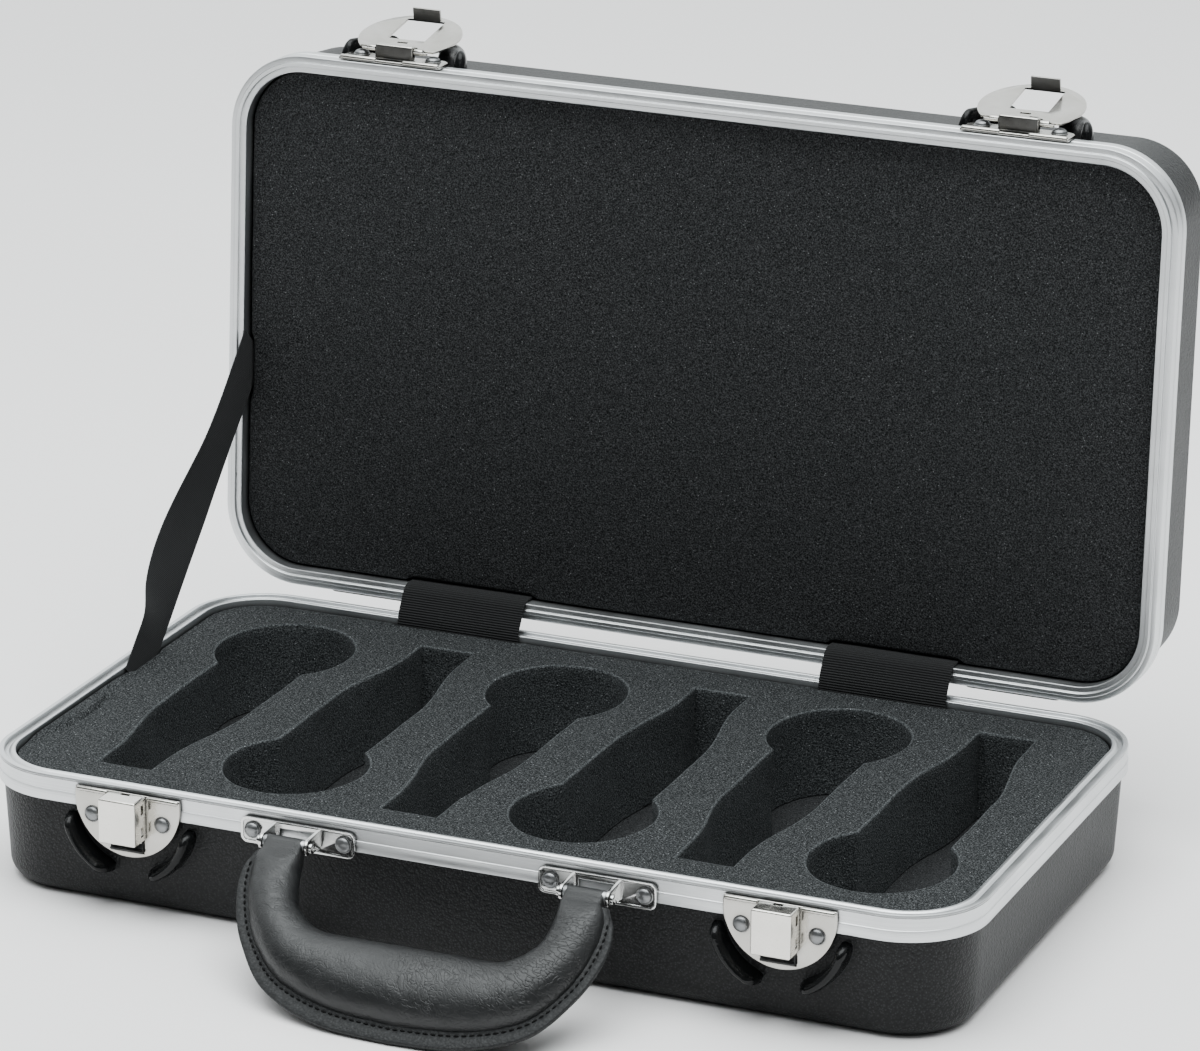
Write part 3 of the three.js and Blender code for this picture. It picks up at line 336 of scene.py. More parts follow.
def handle_point(x, out, height):
    """A point of the handle: out from the pivot line and above the handle's own plane."""
    sin, cos = math.sin(HANDLE_REST_ANGLE), math.cos(HANDLE_REST_ANGLE)
    y, z = -out, -height
    turned = Vector((x, y * cos - z * sin, y * sin + z * cos))
    return (HANDLE_PIVOT + turned) * MM


def corner_arcs(centre_x, centre_y, radius, steps):
    """A rounded rectangle round the origin, from the centre of its first corner's arc."""
    loop = []
    for across, along, start in ((1, 1, 0), (-1, 1, 90), (-1, -1, 180), (1, -1, 270)):
        for step in range(steps + 1):
            angle = math.radians(start + 90 * step / steps)
            loop.append((
                across * centre_x + radius * math.cos(angle), along * centre_y + radius * math.sin(angle),
            ))
    return loop


def case_loop(inset):
    """The case's rounded outline in plan, moved in by an inset."""
    centre_x = CASE_WIDTH / 2 - CORNER_RADIUS
    centre_y = CASE_DEPTH / 2 - CORNER_RADIUS
    return corner_arcs(centre_x, centre_y, CORNER_RADIUS - inset, CORNER_STEPS)


def rounded_rectangle(width, height, radius, steps=6):
    return corner_arcs(width / 2 - radius, height / 2 - radius, radius, steps)


def resampled(loop, spacing):
    """A closed outline with points about one spacing apart, its own corners kept."""
    points = []
    for index, (x, y) in enumerate(loop):
        after_x, after_y = loop[(index + 1) % len(loop)]
        length = math.hypot(after_x - x, after_y - y)
        steps = max(1, round(length / spacing))
        for step in range(steps):
            share = step / steps
            points.append((x + (after_x - x) * share, y + (after_y - y) * share))
    return points


def loop_normals(loop):
    """Unit normals to the right of the way round, so outward on an anticlockwise outline."""
    normals = []
    for index, (x, y) in enumerate(loop):
        before = loop[index - 1]
        after = loop[(index + 1) % len(loop)]
        first = Vector((y - before[1], before[0] - x))
        second = Vector((after[1] - y, x - after[0]))
        if first.length:
            first.normalize()
        if second.length:
            second.normalize()
        middle = first + second
        normals.append(middle / max(middle.length_squared / 2, 0.5))
    return normals


def moved_out(loop, distance):
    """A closed outline with each point moved along its normal."""
    normals = loop_normals(loop)
    return [(x + n.x * distance, y + n.y * distance) for (x, y), n in zip(loop, normals)]


def smooth_step(value, low, high):
    """Rises smoothly from 0 at the low limit to 1 at the high one."""
    share = min(max((value - low) / (high - low), 0), 1)
    return share * share * (3 - 2 * share)


def ripple(x, y, scale, seed):
    """A smooth value from about -1 to 1 that drifts over a plane, the same on each run."""
    return noise.noise(Vector((x * scale, y * scale, seed)))


def spread(values, share):
    """A smooth value along a list, at a share from 0 to 1."""
    steps = len(values) - 1
    along = min(share * steps, steps - 1e-9)
    start = int(along)
    t = along - start

    def at(index):
        return values[min(max(index, 0), steps)]

    p0, p1, p2, p3 = at(start - 1), at(start), at(start + 1), at(start + 2)
    return (
        (2 * t ** 3 - 3 * t ** 2 + 1) * p1 + (t ** 3 - 2 * t ** 2 + t) * (p2 - p0) / 2
        + (3 * t ** 2 - 2 * t ** 3) * p2 + (t ** 3 - t ** 2) * (p3 - p1) / 2
    )


# Mesh building

WELD_DISTANCE = 1e-6
FILL_TOLERANCE = 1e-5
FILL_INSIDE = 1
FLAT_LIMIT = math.radians(1)
FACET_LIMIT = math.radians(38)


class Surface:
    """Points and faces of one piece; a lay is a point's place along the piece's own length and girth."""

    def __init__(self):
        self.points = []
        self.faces = []
        self.finishes = []
        self.lays = []

    def add(self, points, faces, finish=0, lays=None):
        start = len(self.points)
        self.points.extend(points)
        self.lays.extend(lays or [(0.0, 0.0, 0.0)] * len(points))
        for face in faces:
            self.faces.append([start + index for index in face])
            self.finishes.append(finish)

    def loft(self, rings, finish=0, series_closed=False, ends=True, lays=None):
        """Quads between closed rings of points, with a face over each end."""
        count = len(rings[0])
        points = [point for ring in rings for point in ring]
        faces = []
        series = len(rings) if series_closed else len(rings) - 1
        for i in range(series):
            near, far = i * count, ((i + 1) % len(rings)) * count
            for j in range(count):
                after = (j + 1) % count
                faces.append([near + j, near + after, far + after, far + j])
        if ends and not series_closed:
            faces.append(list(range(count))[::-1])
            faces.append([(len(rings) - 1) * count + j for j in range(count)])
        self.add(points, faces, finish, lays)

    def piece(self, name, materials, sharp=35, weld=False):
        mesh = bpy.data.meshes.new(name)
        mesh.from_pydata([tuple(point) for point in self.points], [], self.faces)
        mesh.polygons.foreach_set("material_index", self.finishes)
        lay = mesh.attributes.new("lay", "FLOAT_VECTOR", "POINT")
        lay.data.foreach_set("vector", [value for place in self.lays for value in place])
        finish_mesh(mesh, sharp, weld)
        return linked(name, mesh, materials)


def finish_mesh(mesh, sharp, weld=False):
    """Turns the faces outward and smooths them up to an angle in degrees."""
    work = bmesh.new()
    work.from_mesh(mesh)
    if weld:
        bmesh.ops.remove_doubles(work, verts=work.verts, dist=WELD_DISTANCE)
    bmesh.ops.recalc_face_normals(work, faces=work.faces)
    work.to_mesh(mesh)
    work.free()
    mesh.polygons.foreach_set("use_smooth", [True] * len(mesh.polygons))
    mesh.set_sharp_from_angle(angle=math.radians(sharp))
    mesh.update()


def linked(name, mesh, materials):
    piece = bpy.data.objects.new(name, mesh)
    bpy.context.scene.collection.objects.link(piece)
    for material in materials:
        mesh.materials.append(material)
    return piece


def filled(loops, extra=()):
    """Triangles inside the first outline and outside the others, by index into all the points."""
    points = []
    edges = []
    for loop in loops:
        start = len(points)
        points.extend(Vector(point) for point in loop)
        edges.extend((start + i, start + (i + 1) % len(loop)) for i in range(len(loop)))
    points.extend(Vector(point) for point in extra)
    found = delaunay_2d_cdt(points, edges, [], FILL_INSIDE, FILL_TOLERANCE)
    origin = [sources[0] for sources in found[3]]
    holes = [(loop, outline_limits(loop)) for loop in loops[1:]]
    triangles = []
    for face in found[2]:
        x = sum(found[0][index].x for index in face) / len(face)
        y = sum(found[0][index].y for index in face) / len(face)
        if not any(within(x, y, limits) and inside(x, y, loop) for loop, limits in holes):
            triangles.append([origin[index] for index in face])
    return points, triangles


def outline_limits(loop):
    return min(x for x, _ in loop), max(x for x, _ in loop), min(y for _, y in loop), max(y for _, y in loop)


def within(x, y, limits):
    return limits[0] < x < limits[1] and limits[2] < y < limits[3]


def inside(x, y, loop):
    """True where a point lies inside a closed outline."""
    found = False
    before_x, before_y = loop[-1]
    for at_x, at_y in loop:
        if (at_y > y) != (before_y > y) and x < (before_x - at_x) * (y - at_y) / (before_y - at_y) + at_x:
            found = not found
        before_x, before_y = at_x, at_y
    return found


def slab(surface, loops, low, high, edge, place, finish=0, steps=3):
    """A plate with rounded front edges: the first loop is its outline, the others are holes."""
    turned = [loop if index == 0 else loop[::-1] for index, loop in enumerate(loops)]
    tops = []
    for loop in turned:
        rings = [[place(x, y, low) for x, y in loop]]
        for step in range(steps + 1):
            angle = step / steps * math.pi / 2
            inset = edge * (1 - math.cos(angle))
            height = high - edge + edge * math.sin(angle)
            rings.append([place(x, y, height) for x, y in moved_out(loop, -inset)])
        surface.loft(rings, finish, ends=False)
        tops.append(moved_out(loop, -edge))
    for outlines, height in ((tops, high), (turned, low)):
        points, triangles = filled(outlines)
        surface.add([place(p.x, p.y, height) for p in points], triangles, finish)


def revolved(profile, steps=32):
    """Rings of a turned piece, from radius and height pairs, about the height axis."""
    rings = []
    for radius, height in profile:
        rings.append([
            (radius * math.cos(2 * math.pi * i / steps), radius * math.sin(2 * math.pi * i / steps), height)
            for i in range(steps)
        ])
    return rings


def rounded_copy(node, name, rounding, materials):
    """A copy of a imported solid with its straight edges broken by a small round."""
    mesh = frame["nodes"][node].data.copy()
    mesh.materials.clear()
    work = bmesh.new()
    work.from_mesh(mesh)
    bmesh.ops.remove_doubles(work, verts=work.verts, dist=WELD_DISTANCE)
    bmesh.ops.dissolve_limit(
        work, angle_limit=FLAT_LIMIT, use_dissolve_boundaries=False, verts=work.verts, edges=work.edges,
    )
    folded = [edge for edge in work.edges if len(edge.link_faces) == 2]
    chosen = [edge for edge in folded if edge.calc_face_angle() > FACET_LIMIT]
    bmesh.ops.bevel(
        work, geom=chosen, offset=rounding * MM, offset_type="OFFSET", segments=2, profile=0.5,
        affect="EDGES", clamp_overlap=True,
    )
    work.to_mesh(mesh)
    work.free()
    finish_mesh(mesh, 40)
    return linked(name, mesh, materials)


def seat(piece, body, slot, *nodes):
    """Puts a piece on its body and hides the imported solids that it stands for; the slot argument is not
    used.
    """
    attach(piece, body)
    if nodes:
        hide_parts(*nodes)
    return piece


# Materials

GRAIN_TURN = (0.7, 0.5, 0.3)
WHITE = (1, 1, 1)
UNSTRETCHED = (1, 1, 1)


class Finish:
    """A material with short calls for its nodes."""

    def __init__(self, name, colour, roughness, metallic=0.0, shine=0.5):
        self.material = bpy.data.materials.new(name)
        self.material.use_nodes = True
        self.tree = self.material.node_tree
        self.shader = self.tree.nodes["Principled BSDF"]
        self.shader.inputs["Base Color"].default_value = (*colour, 1)
        self.shader.inputs["Roughness"].default_value = roughness
        self.shader.inputs["Metallic"].default_value = metallic
        self.shader.inputs["Specular IOR Level"].default_value = shine
        self.place = None
        self.turned_place = None
        self.last_bump = None

    def node(self, kind, **inputs):
        made = self.tree.nodes.new(kind)
        for key, value in inputs.items():
            socket = made.inputs[key.replace("_", " ")]
            if isinstance(value, bpy.types.NodeSocket):
                self.tree.links.new(value, socket)
            else:
                socket.default_value = value
        return made

    def link(self, output, socket):
        self.tree.links.new(output, self.shader.inputs[socket])

    def position(self, scale=UNSTRETCHED):
        """The point's place: an even grain is turned, so that no flat face cuts it along its grid."""
        if self.place is None:
            self.place = self.tree.nodes.new("ShaderNodeTexCoord").outputs["Object"]
            turned = self.node("ShaderNodeMapping", Vector=self.place, Rotation=GRAIN_TURN)
            self.turned_place = turned.outputs["Vector"]
        if scale == UNSTRETCHED:
            return self.turned_place
        mapping = self.node("ShaderNodeMapping", Vector=self.place, Scale=scale)
        return mapping.outputs["Vector"]

    def noise(self, scale, detail=4.0, roughness=0.55, stretch=UNSTRETCHED):
        place = self.position(stretch)
        made = self.node("ShaderNodeTexNoise", Vector=place, Scale=scale, Detail=detail, Roughness=roughness)
        return made.outputs["Fac"]

    def cells(self, scale, feature="F1"):
        made = self.node("ShaderNodeTexVoronoi", Vector=self.position(), Scale=scale)
        made.feature = feature
        return made.outputs["Distance"]

    def math(self, operation, first, second=0.0):
        made = self.tree.nodes.new("ShaderNodeMath")
        made.operation = operation
        for socket, value in zip(made.inputs, (first, second)):
            if isinstance(value, (int, float)):
                socket.default_value = value
            else:
                self.tree.links.new(value, socket)
        return made.outputs[0]

    def ramp(self, value, stops):
        """A smooth change of colour or grey: stops are pairs of position and colour or grey."""
        made = self.node("ShaderNodeValToRGB", Fac=value)
        elements = made.color_ramp.elements
        while len(elements) < len(stops):
            elements.new(0.5)
        for element, (position, tone) in zip(elements, stops):
            element.position = position
            element.color = (*tone, 1) if hasattr(tone, "__len__") else (tone, tone, tone, 1)
        return made.outputs["Color"]

    def lay(self):
        """A point's place along its own piece, in millimetres."""
        found = self.tree.nodes.new("ShaderNodeAttribute")
        found.attribute_name = "lay"
        return found.outputs["Vector"]

    def parts(self, vector):
        return self.node("ShaderNodeSeparateXYZ", Vector=vector).outputs

    def ridges(self, value, pitch):
        """Rounded ridges from 0 to 1, one to each pitch."""
        turned = self.math("MULTIPLY", value, math.pi / pitch)
        return self.math("ABSOLUTE", self.math("SINE", turned))

    def edge_wear_and_highlight(self, radius):
        """Rises from 0 on flat faces to 1 on the sharp edges of the form: painted highlight on the metals,
        rubbed wear on the shell.
        """
        rounded = self.node("ShaderNodeBevel", Radius=radius * MM)
        rounded.samples = 4
        flat = self.tree.nodes.new("ShaderNodeNewGeometry")
        facing = self.node("ShaderNodeVectorMath")
        facing.operation = "DOT_PRODUCT"
        self.tree.links.new(rounded.outputs["Normal"], facing.inputs[0])
        self.tree.links.new(flat.outputs["Normal"], facing.inputs[1])
        return self.math("MULTIPLY", self.math("SUBTRACT", 1.0, facing.outputs["Value"]), 4.0)

    def crevice_shade_mask(self, reach):
        """Falls from 1 in the open to 0 where other metal lies close; the metals paint shade with it."""
        closed = self.node("ShaderNodeAmbientOcclusion", Distance=reach * MM)
        closed.samples = 6
        return closed.outputs["AO"]

    def blend(self, first, second, share, kind="MIX"):
        made = self.tree.nodes.new("ShaderNodeMix")
        made.data_type = "RGBA"
        made.blend_type = kind
        for socket, value in ((made.inputs[0], share), (made.inputs[6], first), (made.inputs[7], second)):
            if isinstance(value, (int, float)):
                socket.default_value = value
            elif isinstance(value, tuple):
                socket.default_value = (*value, 1)
            else:
                self.tree.links.new(value, socket)
        return made.outputs[2]

    def bump(self, height, strength, distance):
        made = self.node("ShaderNodeBump", Height=height, Strength=strength, Distance=distance * MM)
        if self.last_bump is not None:
            self.tree.links.new(self.last_bump, made.inputs["Normal"])
        self.last_bump = made.outputs["Normal"]
        self.link(self.last_bump, "Normal")


def mixed(first, second, share):
    return tuple(a + (b - a) * share for a, b in zip(first, second))


def scaled(colour, share):
    return tuple(channel * share for channel in colour)


FINISHES = {}


def finish(name, make):
    """Makes a material once and hands it out by name."""
    if name not in FINISHES:
        FINISHES[name] = make(name).material
    return FINISHES[name]


def aluminium(name):
    """Satin anodised extrusion with fine lines drawn along it, painted shade where other metal lies close and
    painted highlights on its sharp edges.
    """
    settings = bpy.context.scene.case_frame
    made = Finish(name, settings.colour, settings.roughness, 1.0)
    drawn = made.parts(made.lay())
    line_place = made.node("ShaderNodeCombineXYZ", Z=made.math("MULTIPLY", drawn[2], 3.2))
    far_place = made.node("ShaderNodeVectorMath", Vector=made.position((9, 9, 9)))
    made.tree.links.new(line_place.outputs[0], far_place.inputs[1])
    lines = made.node("ShaderNodeTexNoise", Vector=far_place.outputs[0], Scale=1.0, Detail=4.0)
    streaks = lines.outputs["Fac"]
    cloud = made.noise(35, 3)
    tone = made.ramp(streaks, [
        (0.3, scaled(settings.colour, 0.88)), (0.7, mixed(settings.colour, WHITE, 0.08)),
    ])
    # Painted shade: the colour darkens where other metal lies close, round the plates and in the grooves.
    painted_crevice_shade = made.ramp(made.crevice_shade_mask(3.0), [(0.38, 0.22), (0.84, 1.0)])
    tone = made.blend(tone, painted_crevice_shade, 0.85, "MULTIPLY")
    # Painted highlight: the sharp edges are painted paler.
    made.link(made.blend(tone, mixed(settings.colour, WHITE, 0.3), made.edge_wear_and_highlight(0.5)), "Base Color")
    satin = settings.roughness
    made.link(made.ramp(cloud, [(0.3, satin - 0.05), (0.75, satin + 0.1)]), "Roughness")
    made.bump(streaks, 0.25, 0.05)
    made.bump(made.noise(1800, 2), 0.12, 0.03)
    return made


def moulded_grain(name):
    """Black moulded plastic with a fine leather grain, rubbed paler on its corners."""
    settings = bpy.context.scene.case_shell
    made = Finish(name, settings.colour, settings.roughness, shine=settings.shine)
    cells = made.cells(settings.grain_per_metre)
    creases = made.cells(settings.grain_per_metre * 0.55, "SMOOTH_F1")
    drift = made.noise(25, 3)
    tone = made.ramp(made.math("ADD", cells, made.math("MULTIPLY", drift, 0.06)), [
        (0.06, scaled(settings.colour, 3.2)), (0.4, scaled(settings.colour, 0.8)),
        (0.8, scaled(settings.colour, 0.3)),
    ])
    made.link(made.blend(tone, scaled(settings.colour, 2.2), made.edge_wear_and_highlight(1.0)), "Base Color")
    matt = settings.roughness
    made.link(made.ramp(drift, [(0.3, matt - 0.01), (0.7, matt + 0.015)]), "Roughness")
    made.bump(cells, settings.grain_strength, 0.32)
    made.bump(creases, settings.grain_strength * 0.7, 0.35)
    made.bump(made.noise(1100, 3), 0.35, 0.15)
    return made


def gloss_plastic(name):
    """The same plastic left smooth and glossy on the raised guards."""
    settings = bpy.context.scene.case_shell
    made = Finish(name, scaled(settings.colour, 0.45), 0.2, shine=0.2)
    drift = made.noise(140, 3)
    made.link(made.ramp(drift, [
        (0.3, scaled(settings.colour, 0.3)), (0.7, scaled(settings.colour, 0.6)),
    ]), "Base Color")
    made.link(made.ramp(made.noise(70, 4), [(0.35, 0.13), (0.75, 0.3)]), "Roughness")
    made.bump(made.cells(settings.grain_per_metre), 0.3, 0.2)
    made.bump(made.noise(260, 2), 0.2, 0.3)
    return made


def foam_finish(name, colour, speck):
    """Open-cell foam: tiny dark pores among pale specks."""
    made = Finish(name, colour, 0.95, shine=0.08)
    pores = made.noise(1500, 3, 0.7)
    cells = made.cells(1100)
    grains = made.ramp(made.cells(330), [(0.05, 1.0), (0.1, 0.0)])
    tone = made.ramp(pores, [
        (0.36, scaled(colour, 0.2)), (0.5, colour), (0.63, mixed(colour, speck, 0.6)), (0.76, speck),
    ])
    made.link(made.blend(tone, scaled(speck, 2.2), grains), "Base Color")
    made.link(made.ramp(cells, [(0.1, 0.85), (0.7, 1.0)]), "Roughness")
    made.bump(cells, 0.8, 0.35)
    made.bump(pores, 0.6, 0.25)
    return made


def base_foam(name):
    settings = bpy.context.scene.case_foam
    return foam_finish(name, settings.base_colour, settings.speck_colour)


def painted_light_pocket_wall_foam(name):
    """A paler copy of the base foam on the walls of the pockets: painted light on the walls."""
    settings = bpy.context.scene.case_foam
    return foam_finish(name, scaled(settings.base_colour, 2.3), scaled(settings.speck_colour, 1.2))


def lid_foam(name):
    settings = bpy.context.scene.case_foam
    return foam_finish(name, settings.lid_colour, scaled(settings.speck_colour, 0.6))


def floor_foam(name):
    settings = bpy.context.scene.case_foam
    return foam_finish(name, scaled(settings.lid_colour, 1.3), scaled(settings.speck_colour, 0.5))


def woven(name, colour, pitch, thread_pitch, depth):
    """Black webbing: ridges across its length, threads along them and a few pale fibres, with painted shade
    in the hollows and painted highlights on the crests.
    """
    made = Finish(name, colour, 0.82, shine=0.2)
    wide, far, _ = made.parts(made.lay())
    ridge = made.ridges(far, pitch)
    threads = made.ridges(wide, thread_pitch)
    fibre = made.noise(2600, 2)
    height = made.math("ADD", ridge, made.math("MULTIPLY", threads, 0.35))
    # The colour follows the height of the weave: painted shade in the hollows and painted highlights on the
    # crests, with the pale fibres mixed in.
    tone = made.ramp(made.math("ADD", height, made.math("MULTIPLY", fibre, 0.5)), [
        (0.35, scaled(colour, 0.15)), (0.75, scaled(colour, 0.7)), (1.5, scaled(colour, 2.6)),
    ])
    made.link(tone, "Base Color")
    made.link(made.ramp(fibre, [(0.3, 0.62), (0.8, 0.9)]), "Roughness")
    made.shader.inputs["Sheen Weight"].default_value = 0.05
    made.bump(height, 0.7, depth)
    made.bump(fibre, 0.4, 0.08)
    return made


def hinge_webbing(name):
    settings = bpy.context.scene.case_webbing
    return woven(name, settings.cover_colour, settings.rib_pitch / MM, 0.62, 0.3)


def strap_webbing(name):
    settings = bpy.context.scene.case_webbing
    return woven(name, settings.strap_colour, 0.8, 0.5, 0.1)


def plated(name, colour, roughness, scratch, edge_light=0.6):
    """Plated sheet metal: polishing lines, small scratches, painted highlights on the edges and painted shade
    in the corners.
    """
    made = Finish(name, colour, roughness, 1.0)
    lines = made.noise(220, 5, 0.7, (1, 1, 14))
    blotch = made.noise(90, 3)
    tone = made.ramp(blotch, [(0.3, scaled(colour, 0.93)), (0.7, mixed(colour, WHITE, 0.06))])
    # Painted shade: the colour darkens where other metal lies close.
    painted_crevice_shade = made.ramp(made.crevice_shade_mask(2.4), [(0.35, 0.08), (0.92, 1.0)])
    tone = made.blend(tone, painted_crevice_shade, 0.9, "MULTIPLY")
    # Painted highlight: the sharp edges are painted towards white by the share edge_light.
    made.link(made.blend(tone, mixed(colour, WHITE, edge_light), made.edge_wear_and_highlight(0.45)), "Base Color")
    made.link(made.ramp(made.math("ADD", lines, made.math("MULTIPLY", blotch, 0.4)), [
        (0.4, roughness * 0.6), (0.95, roughness * 1.6),
    ]), "Roughness")
    made.bump(lines, scratch, 0.02)
    made.bump(made.noise(60, 2), 0.12, 0.2)
    return made


def nickel(name):
    """The polished plating of the latches and hasps."""
    settings = bpy.context.scene.case_fittings
    return plated(name, settings.nickel_colour, settings.nickel_roughness, 0.2)


def painted_light_button_nickel(name):
    """The buttons' plating: a brighter copy of the nickel, painted light on the buttons."""
    settings = bpy.context.scene.case_fittings
    return plated(name, scaled(settings.nickel_colour, 1.6), settings.nickel_roughness * 1.2, 0.2)


def painted_shade_nickel(name):
    """A shaded copy of the plating: painted shade on the face and painted highlights on its edges."""
    settings = bpy.context.scene.case_fittings
    return plated(name, scaled(settings.nickel_colour, 0.16), 0.3, 0.2, 0.8)


def chrome(name):
    """The brighter, smoother plating of the handle's brackets and pins."""
    settings = bpy.context.scene.case_fittings
    return plated(name, settings.chrome_colour, settings.chrome_roughness, 0.08)


def zinc(name):
    """The satin zinc of the hinges, springs and hasp pins."""
    settings = bpy.context.scene.case_fittings
    return plated(name, settings.steel_colour, 0.35, 0.3)


def rivet_steel(name):
    """The duller grey plating of the rivets."""
    settings = bpy.context.scene.case_fittings
    return plated(name, scaled(settings.steel_colour, 0.42), 0.33, 0.15)


def painted_shade_steel(name):
    """A near-black copy of the steel on the catches inside the latches: painted shade in their slots."""
    settings = bpy.context.scene.case_fittings
    return plated(name, scaled(settings.steel_colour, 0.05), 0.4, 0.3, 0.0)


def leatherette(name):
    """Soft black leatherette: fine pores and creases that cross the grip in loose groups, with painted shade
    in the creases.
    """
    settings = bpy.context.scene.case_handle
    made = Finish(name, settings.colour, 0.4, shine=0.42)
    drift = made.node("ShaderNodeTexNoise", Vector=made.lay(), Scale=0.11, Detail=2.0).outputs["Color"]
    bent = made.node("ShaderNodeMapping", Vector=drift, Scale=(9, 9, 9))
    place = made.node("ShaderNodeVectorMath")
    made.tree.links.new(made.lay(), place.inputs[0])
    made.tree.links.new(bent.outputs[0], place.inputs[1])
    heights = []
    for scale, width in (((0.42, 0.1, 1), 0.055), ((0.2, 0.17, 1), 0.03)):
        squeezed = made.node("ShaderNodeMapping", Vector=place.outputs[0], Scale=scale).outputs["Vector"]
        cracks = made.node("ShaderNodeTexVoronoi", Vector=squeezed, Scale=1.0)
        cracks.feature = "DISTANCE_TO_EDGE"
        heights.append(made.ramp(cracks.outputs["Distance"], [(0.0, 0.0), (width, 0.75), (width * 4, 1.0)]))
    groups = made.ramp(made.noise(38, 3), [(0.4, 0.12), (0.62, 1.0)])
    creased = made.blend(WHITE, heights[0], groups)
    pores = made.cells(1300)
    # Painted shade: the creases are painted darker than the grip round them.
    made.link(made.ramp(creased, [
        (0.0, scaled(settings.colour, 0.5)), (0.7, settings.colour), (1.0, scaled(settings.colour, 1.15)),
    ]), "Base Color")
    made.link(made.ramp(made.noise(45, 4), [(0.3, 0.33), (0.75, 0.46)]), "Roughness")
    made.bump(creased, settings.crease_strength, 0.25)
    made.bump(heights[1], settings.crease_strength * 0.4, 0.3)
    made.bump(pores, 0.35, 0.12)
    return made


def grained_flange(name):
    """The flange's cut leatherette: coarser and duller than the grip."""
    settings = bpy.context.scene.case_handle
    made = Finish(name, scaled(settings.colour, 1.2), 0.58, shine=0.3)
    pores = made.cells(900)
    rough = made.noise(420, 5, 0.7)
    made.link(made.ramp(rough, [
        (0.3, scaled(settings.colour, 0.7)), (0.7, scaled(settings.colour, 2.2)),
    ]), "Base Color")
    made.link(made.ramp(pores, [(0.1, 0.48), (0.7, 0.68)]), "Roughness")
    made.bump(pores, 0.7, 0.3)
    made.bump(rough, 0.6, 0.3)
    return made


def thread(name):
    """The dark waxed thread of the stitches."""
    settings = bpy.context.scene.case_handle
    made = Finish(name, settings.thread_colour, 0.7, shine=0.15)
    fibre = made.noise(2400, 2)
    made.link(made.ramp(fibre, [
        (0.3, scaled(settings.thread_colour, 0.5)), (0.7, scaled(settings.thread_colour, 1.8)),
    ]), "Base Color")
    made.bump(fibre, 0.6, 0.1)
    return made


def floor_paint(name):
    settings = bpy.context.scene.case_studio
    made = Finish(name, settings.floor_colour, 0.9)
    made.link(made.ramp(made.noise(3, 2), [
        (0.3, scaled(settings.floor_colour, 0.99)), (0.7, settings.floor_colour),
    ]), "Base Color")
    return made


# Frames

# A section's points are pairs of inset from the frame's face and drop from the parting plane.
BAND_FACE = [
    (BAND_WALL, BAND_HEIGHT), (0.5, BAND_HEIGHT), (0.15, 11.88), (0, 11.55), (0, 7.35), (0.08, 7.1),
    (0.35, 6.85), (0.35, 1.75), (0.62, 1.6), (0.62, 1.45), (0.3, 1.3), (0.05, 1.0), (0.1, 0.65), (0.35, 0.3),
    (0.8, RIM_GAP / 2),
]
GROOVED_RIM = [
    (2.35, RIM_GAP / 2), (2.55, 0.3), (2.75, 1.6), (3.0, 1.85), (4.6, 1.85), (5.2, 1.45), (5.6, 1.0),
    (6.2, 0.75), (7.1, 0.75), (7.42, 0.95), (RIM_WIDTH, 1.3),
]
TONGUED_RIM = [
    (2.5, RIM_GAP / 2), (2.75, 0.0), (2.9, -0.7), (3.05, -0.95), (4.5, -0.95), (4.7, -0.7), (4.8, 0.0),
    (5.0, RIM_GAP / 2), (7.1, RIM_GAP / 2), (7.42, 0.35), (RIM_WIDTH, 0.7),
]
INNER_LIP = [
    (RIM_WIDTH, LIP_DEPTH), (RIM_WIDTH - LIP_WALL, LIP_DEPTH), (RIM_WIDTH - LIP_WALL, RIM_UNDERSIDE),
    (BAND_WALL, RIM_UNDERSIDE),
]
BASE_SECTION = BAND_FACE + GROOVED_RIM + INNER_LIP
LID_SECTION = BAND_FACE + TONGUED_RIM + INNER_LIP


def frame_piece(half, section):
    """One extruded frame, bent round the case: its section swept along the outline."""
    rings = []
    for inset, drop in section:
        rings.append([half_point(half, x, y, drop) for x, y in case_loop(inset)])
    surface = Surface()
    lengths = [0.0]
    for (inset, drop), (after_inset, after_drop) in zip(section, section[1:]):
        lengths.append(lengths[-1] + math.hypot(after_inset - inset, after_drop - drop))
    lays = [(0.0, 0.0, length) for length, ring in zip(lengths, rings) for _ in ring]
    surface.loft(rings, series_closed=True, lays=lays)
    piece = surface.piece(f"{half}_rim_extrusion", [finish("satin_aluminium", aluminium)], sharp=28)
    seat(piece, half, "aluminium", f"{half}_frame")


# Shells

def tray_profile(thickness):
    """A drafted tray's face, a thickness inside its outer one, as inset and drop pairs from the lip down."""
    radius = BOTTOM_RADIUS - thickness
    foot = SHELL_INSET + SHELL_DRAFT + thickness
    bend = PARTING - BOTTOM_RADIUS
    pairs = []
    for share in SHELL_WALL_SHARES:
        inset = SHELL_INSET + thickness + SHELL_DRAFT * share
        pairs.append((inset, LIP_DROP + (bend - LIP_DROP) * share))
    for step in range(1, BOTTOM_STEPS + 1):
        angle = step / BOTTOM_STEPS * math.pi / 2
        pairs.append((foot + radius * (1 - math.cos(angle)), bend + radius * math.sin(angle)))
    return pairs


